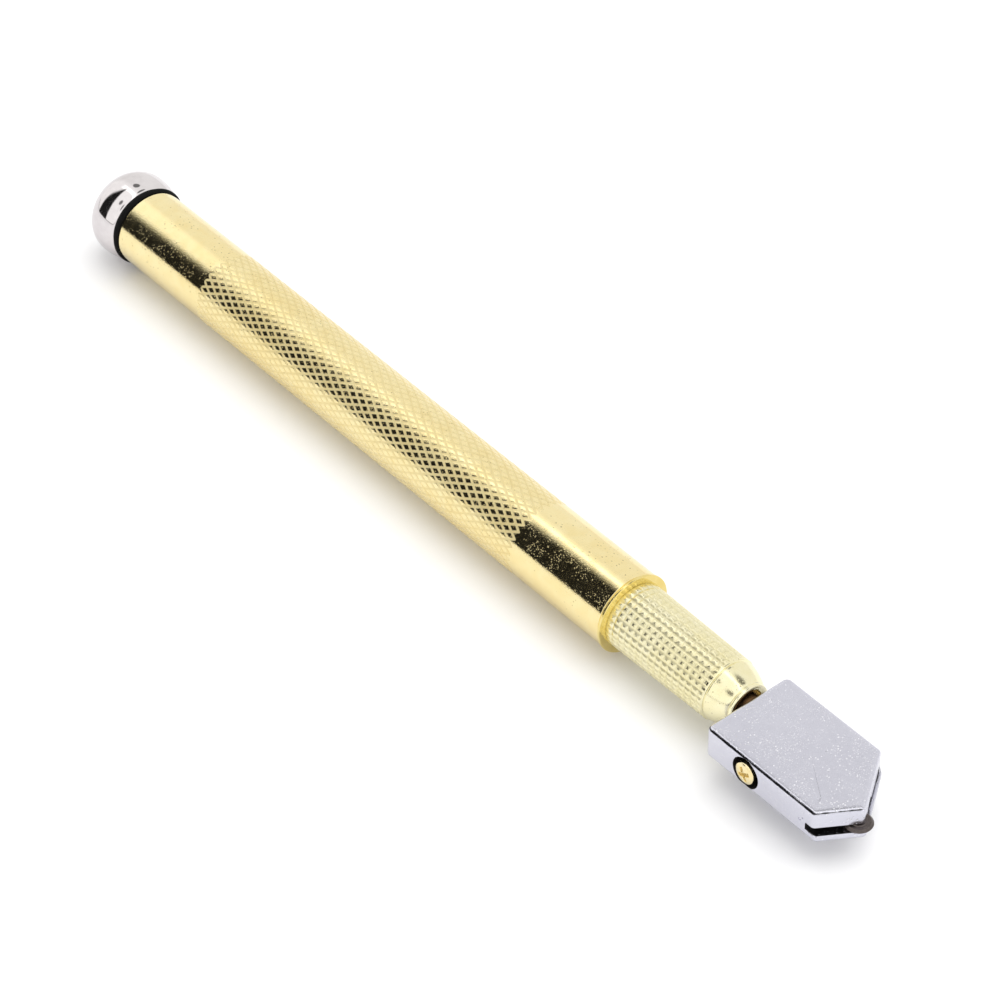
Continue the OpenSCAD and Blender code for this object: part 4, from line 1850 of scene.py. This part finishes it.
@dataclass
class Studio:
    """White table, soft light from above, pale room with a dark doorway, and the camera.

    Attributes:
        azimuth: Camera's direction round the tool, from -Y towards +X, in degrees.
        elevation: Camera's height above the table, in degrees.
        distance: Distance from the aim to the camera.
        aim: Aim along the tool, from the tube's rear rim.
        shift: How far the camera stands to the right of the aim, and above it.
        lens: Focal length in millimetres on a 36 mm sensor.
        table_half: Half the side of the table.
        fittings: Dark fittings overhead.
    """

    azimuth: float = 49.92
    elevation: float = 42.23
    distance: float = 538.7 * MM
    aim: float = 86.68 * MM
    shift: tuple[float, float] = (0.564 * MM, 0.630 * MM)
    lens: float = 131.4
    table_half: float = 3.0
    fittings: tuple[Fitting, ...] = (
        Fitting((-0.37, 0.38, 0.85), 0.9935), Fitting((0.26, 0.38, 0.89), 0.978),
        Fitting((-0.12, -0.53, 0.84), 0.992), Fitting((0.39, -0.59, 0.71), 0.988))

    def camera(self) -> None:
        """Stands the camera back from the aim, with no roll."""
        a, e = math.radians(self.azimuth), math.radians(self.elevation)
        back = Vector((math.sin(a) * math.cos(e), -math.cos(a) * math.cos(e), math.sin(e)))
        right = Vector((math.cos(a), math.sin(a), 0.0))
        up = back.cross(right)
        low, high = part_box("handle_tube")
        aim = Vector((low.x + self.aim, (low.y + high.y) / 2, (low.z + high.z) / 2))
        lens = bpy.data.cameras.new("camera")
        lens.lens, lens.sensor_width = self.lens, 36.0
        lens.clip_start, lens.clip_end = 0.01, 20.0
        cam = bpy.data.objects.new("camera", lens)
        cam.location = aim + back * self.distance + right * self.shift[0] + up * self.shift[1]
        cam.rotation_mode = "QUATERNION"
        cam.rotation_quaternion = (-back).to_track_quat("-Z", "Y")
        bpy.context.scene.collection.objects.link(cam)
        bpy.context.scene.camera = cam

    def table(self) -> None:
        """Lays a large, matt white table under the tool; gloss sees it a little darker."""
        half = self.table_half
        corners = np.array([(-half, -half, 0.0), (half, -half, 0.0), (half, half, 0.0),
                            (-half, half, 0.0)])
        mesh = bpy.data.meshes.new("table")
        mesh.from_pydata(corners.tolist(), [], [(0, 1, 2, 3)])
        floor = bpy.data.objects.new("table", mesh)
        bpy.context.scene.collection.objects.link(floor)
        skin = Skin("matt_white_table")
        w = skin.wiring
        clouds = skin.effect(Effect.MOTTLE, Scale=30.0, Fine=0.5)
        white = w.blend(clouds, (0.94, 0.94, 0.945), (0.93, 0.93, 0.93))
        gloss = w.add("LightPath").outputs["Is Glossy Ray"]
        skin.set(Base_Color=w.blend(gloss, white, (0.82, 0.82, 0.83)), Roughness=0.9,
                 Specular_IOR_Level=0.1)
        mesh.materials.append(skin.material)

    @staticmethod
    def softbox(name: str, place: tuple[float, float, float], side: float, power: float) -> None:
        """Hangs a square soft light that faces the middle of the tool and that gloss doesn't see.

        Args:
            name: Name of the light.
            place: Where it hangs.
            side: Its side.
            power: Its power in watts.
        """
        data = bpy.data.lights.new(name, "AREA")
        data.shape, data.size, data.energy = "SQUARE", side, power
        lamp = bpy.data.objects.new(name, data)
        lamp.location = place
        lamp.rotation_mode = "QUATERNION"
        lamp.rotation_quaternion = (-Vector(place)).to_track_quat("-Z", "Y")
        lamp.visible_glossy = False
        bpy.context.scene.collection.objects.link(lamp)

    @staticmethod
    def doorway(w: Wiring, x: Source, y: Source, z: Source) -> Any:
        """Dark doorway towards -X and -Y, with a dark sill along the foot of the -Y wall.

        The doorway lies between two jambs in x, above the table and under a lintel that rises
        with x; the sill is a thin band just above the table.

        Args:
            w: Wiring of the room.
            x: X of the direction looked in.
            y: Its Y.
            z: Its Z.

        Returns:
            The mask's socket, 1 where it is dark.
        """
        lintel = w.maths("MULTIPLY_ADD", x, 1.98, 0.93)
        top = w.span(w.maths("SUBTRACT", y, lintel), -0.10, 0.10, (1.0, 0.0))
        foot = w.span(z, 0.022, 0.036, (0.0, 1.0))
        opening = w.maths("MULTIPLY", w.maths("MULTIPLY", foot, top),
                          w.window(x, (-0.77, -0.73), (-0.46, -0.42)))
        sill = w.maths("MULTIPLY", w.window(z, (0.022, 0.036), (0.05, 0.065)), 0.75)
        sill = w.maths("MULTIPLY", sill, w.span(y, -0.3, -0.2, (1.0, 0.0)))
        return w.maths("MAXIMUM", opening, sill)

    @staticmethod
    def brightness(w: Wiring, x: Source, y: Source) -> Any:
        """Brightness of the room: more towards -Y, most in a strip overhead along the tool.

        Args:
            w: Wiring of the room.
            x: X of the direction looked in.
            y: Its Y.

        Returns:
            The brightness's socket.
        """
        strip = w.maths("MULTIPLY", w.window(y, (-0.06, 0.0), (0.10, 0.16)),
                        w.span(x, -0.62, -0.55, (0.0, 0.6)))
        return w.maths("ADD", strip, w.span(y, 0.14, 0.34, (1.13, 0.95)))

    def room(self) -> None:
        """Paints the room that the tool stands in.

        Gloss sees the doorway, the dark fittings overhead and walls of uneven brightness. The
        camera sees white, and everything else is lit by an even, slightly darker white.
        """
        world = bpy.data.worlds.new("studio_room")
        world.use_nodes = True
        world.node_tree.nodes.clear()
        w = Wiring(world.node_tree)
        way = w.add("TexCoord").outputs["Generated"]
        x, y, z = w.add("SeparateXYZ", {0: way}).outputs
        dark = self.doorway(w, x, y, z)
        for fitting in self.fittings:
            dark = w.maths("MAXIMUM", dark, fitting.mask(w, way))
        shown = w.maths("MULTIPLY", self.brightness(w, x, y),
                        w.maths("MULTIPLY_ADD", dark, -0.99, 1.0))
        ray = w.add("LightPath").outputs
        light = w.lean(ray["Is Glossy Ray"], 0.95, shown)
        power = w.lean(ray["Is Camera Ray"], light, 1.0)
        room = w.add("Background", {"Color": (1.0, 0.995, 0.99), "Strength": power})
        w.add("OutputWorld", {"Surface": room.outputs[0]})
        bpy.context.scene.world = world

    def build(self) -> None:
        """Sets up the whole studio."""
        self.camera()
        self.table()
        self.room()
        self.softbox("overhead_softbox", (0.10, 0.18, 0.75), side=0.9, power=3.6)
        bpy.context.scene.view_settings.view_transform = "Standard"


def main() -> None:
    """Builds the studio and every sub-assembly in order, and reports each piece."""
    logging.basicConfig(level=logging.INFO, format="%(message)s")
    SHELF.build()
    Studio().build()
    parts: list[Part] = [HandleTube(), EndCap(), CapGasket(), FrontRing(), FrontGrip(),
                         CutterHead(), RetainingScrew(), CuttingWheel(), ValveSpring()]
    for part in parts:
        piece = part.build()
        part.dress(piece)
        LOG.info("%s: %d faces", piece.name, len(piece.data.polygons))
    for name in InnerParts().dress():
        LOG.info("%s: dressed", name)


if __name__ == "__main__":
    main()
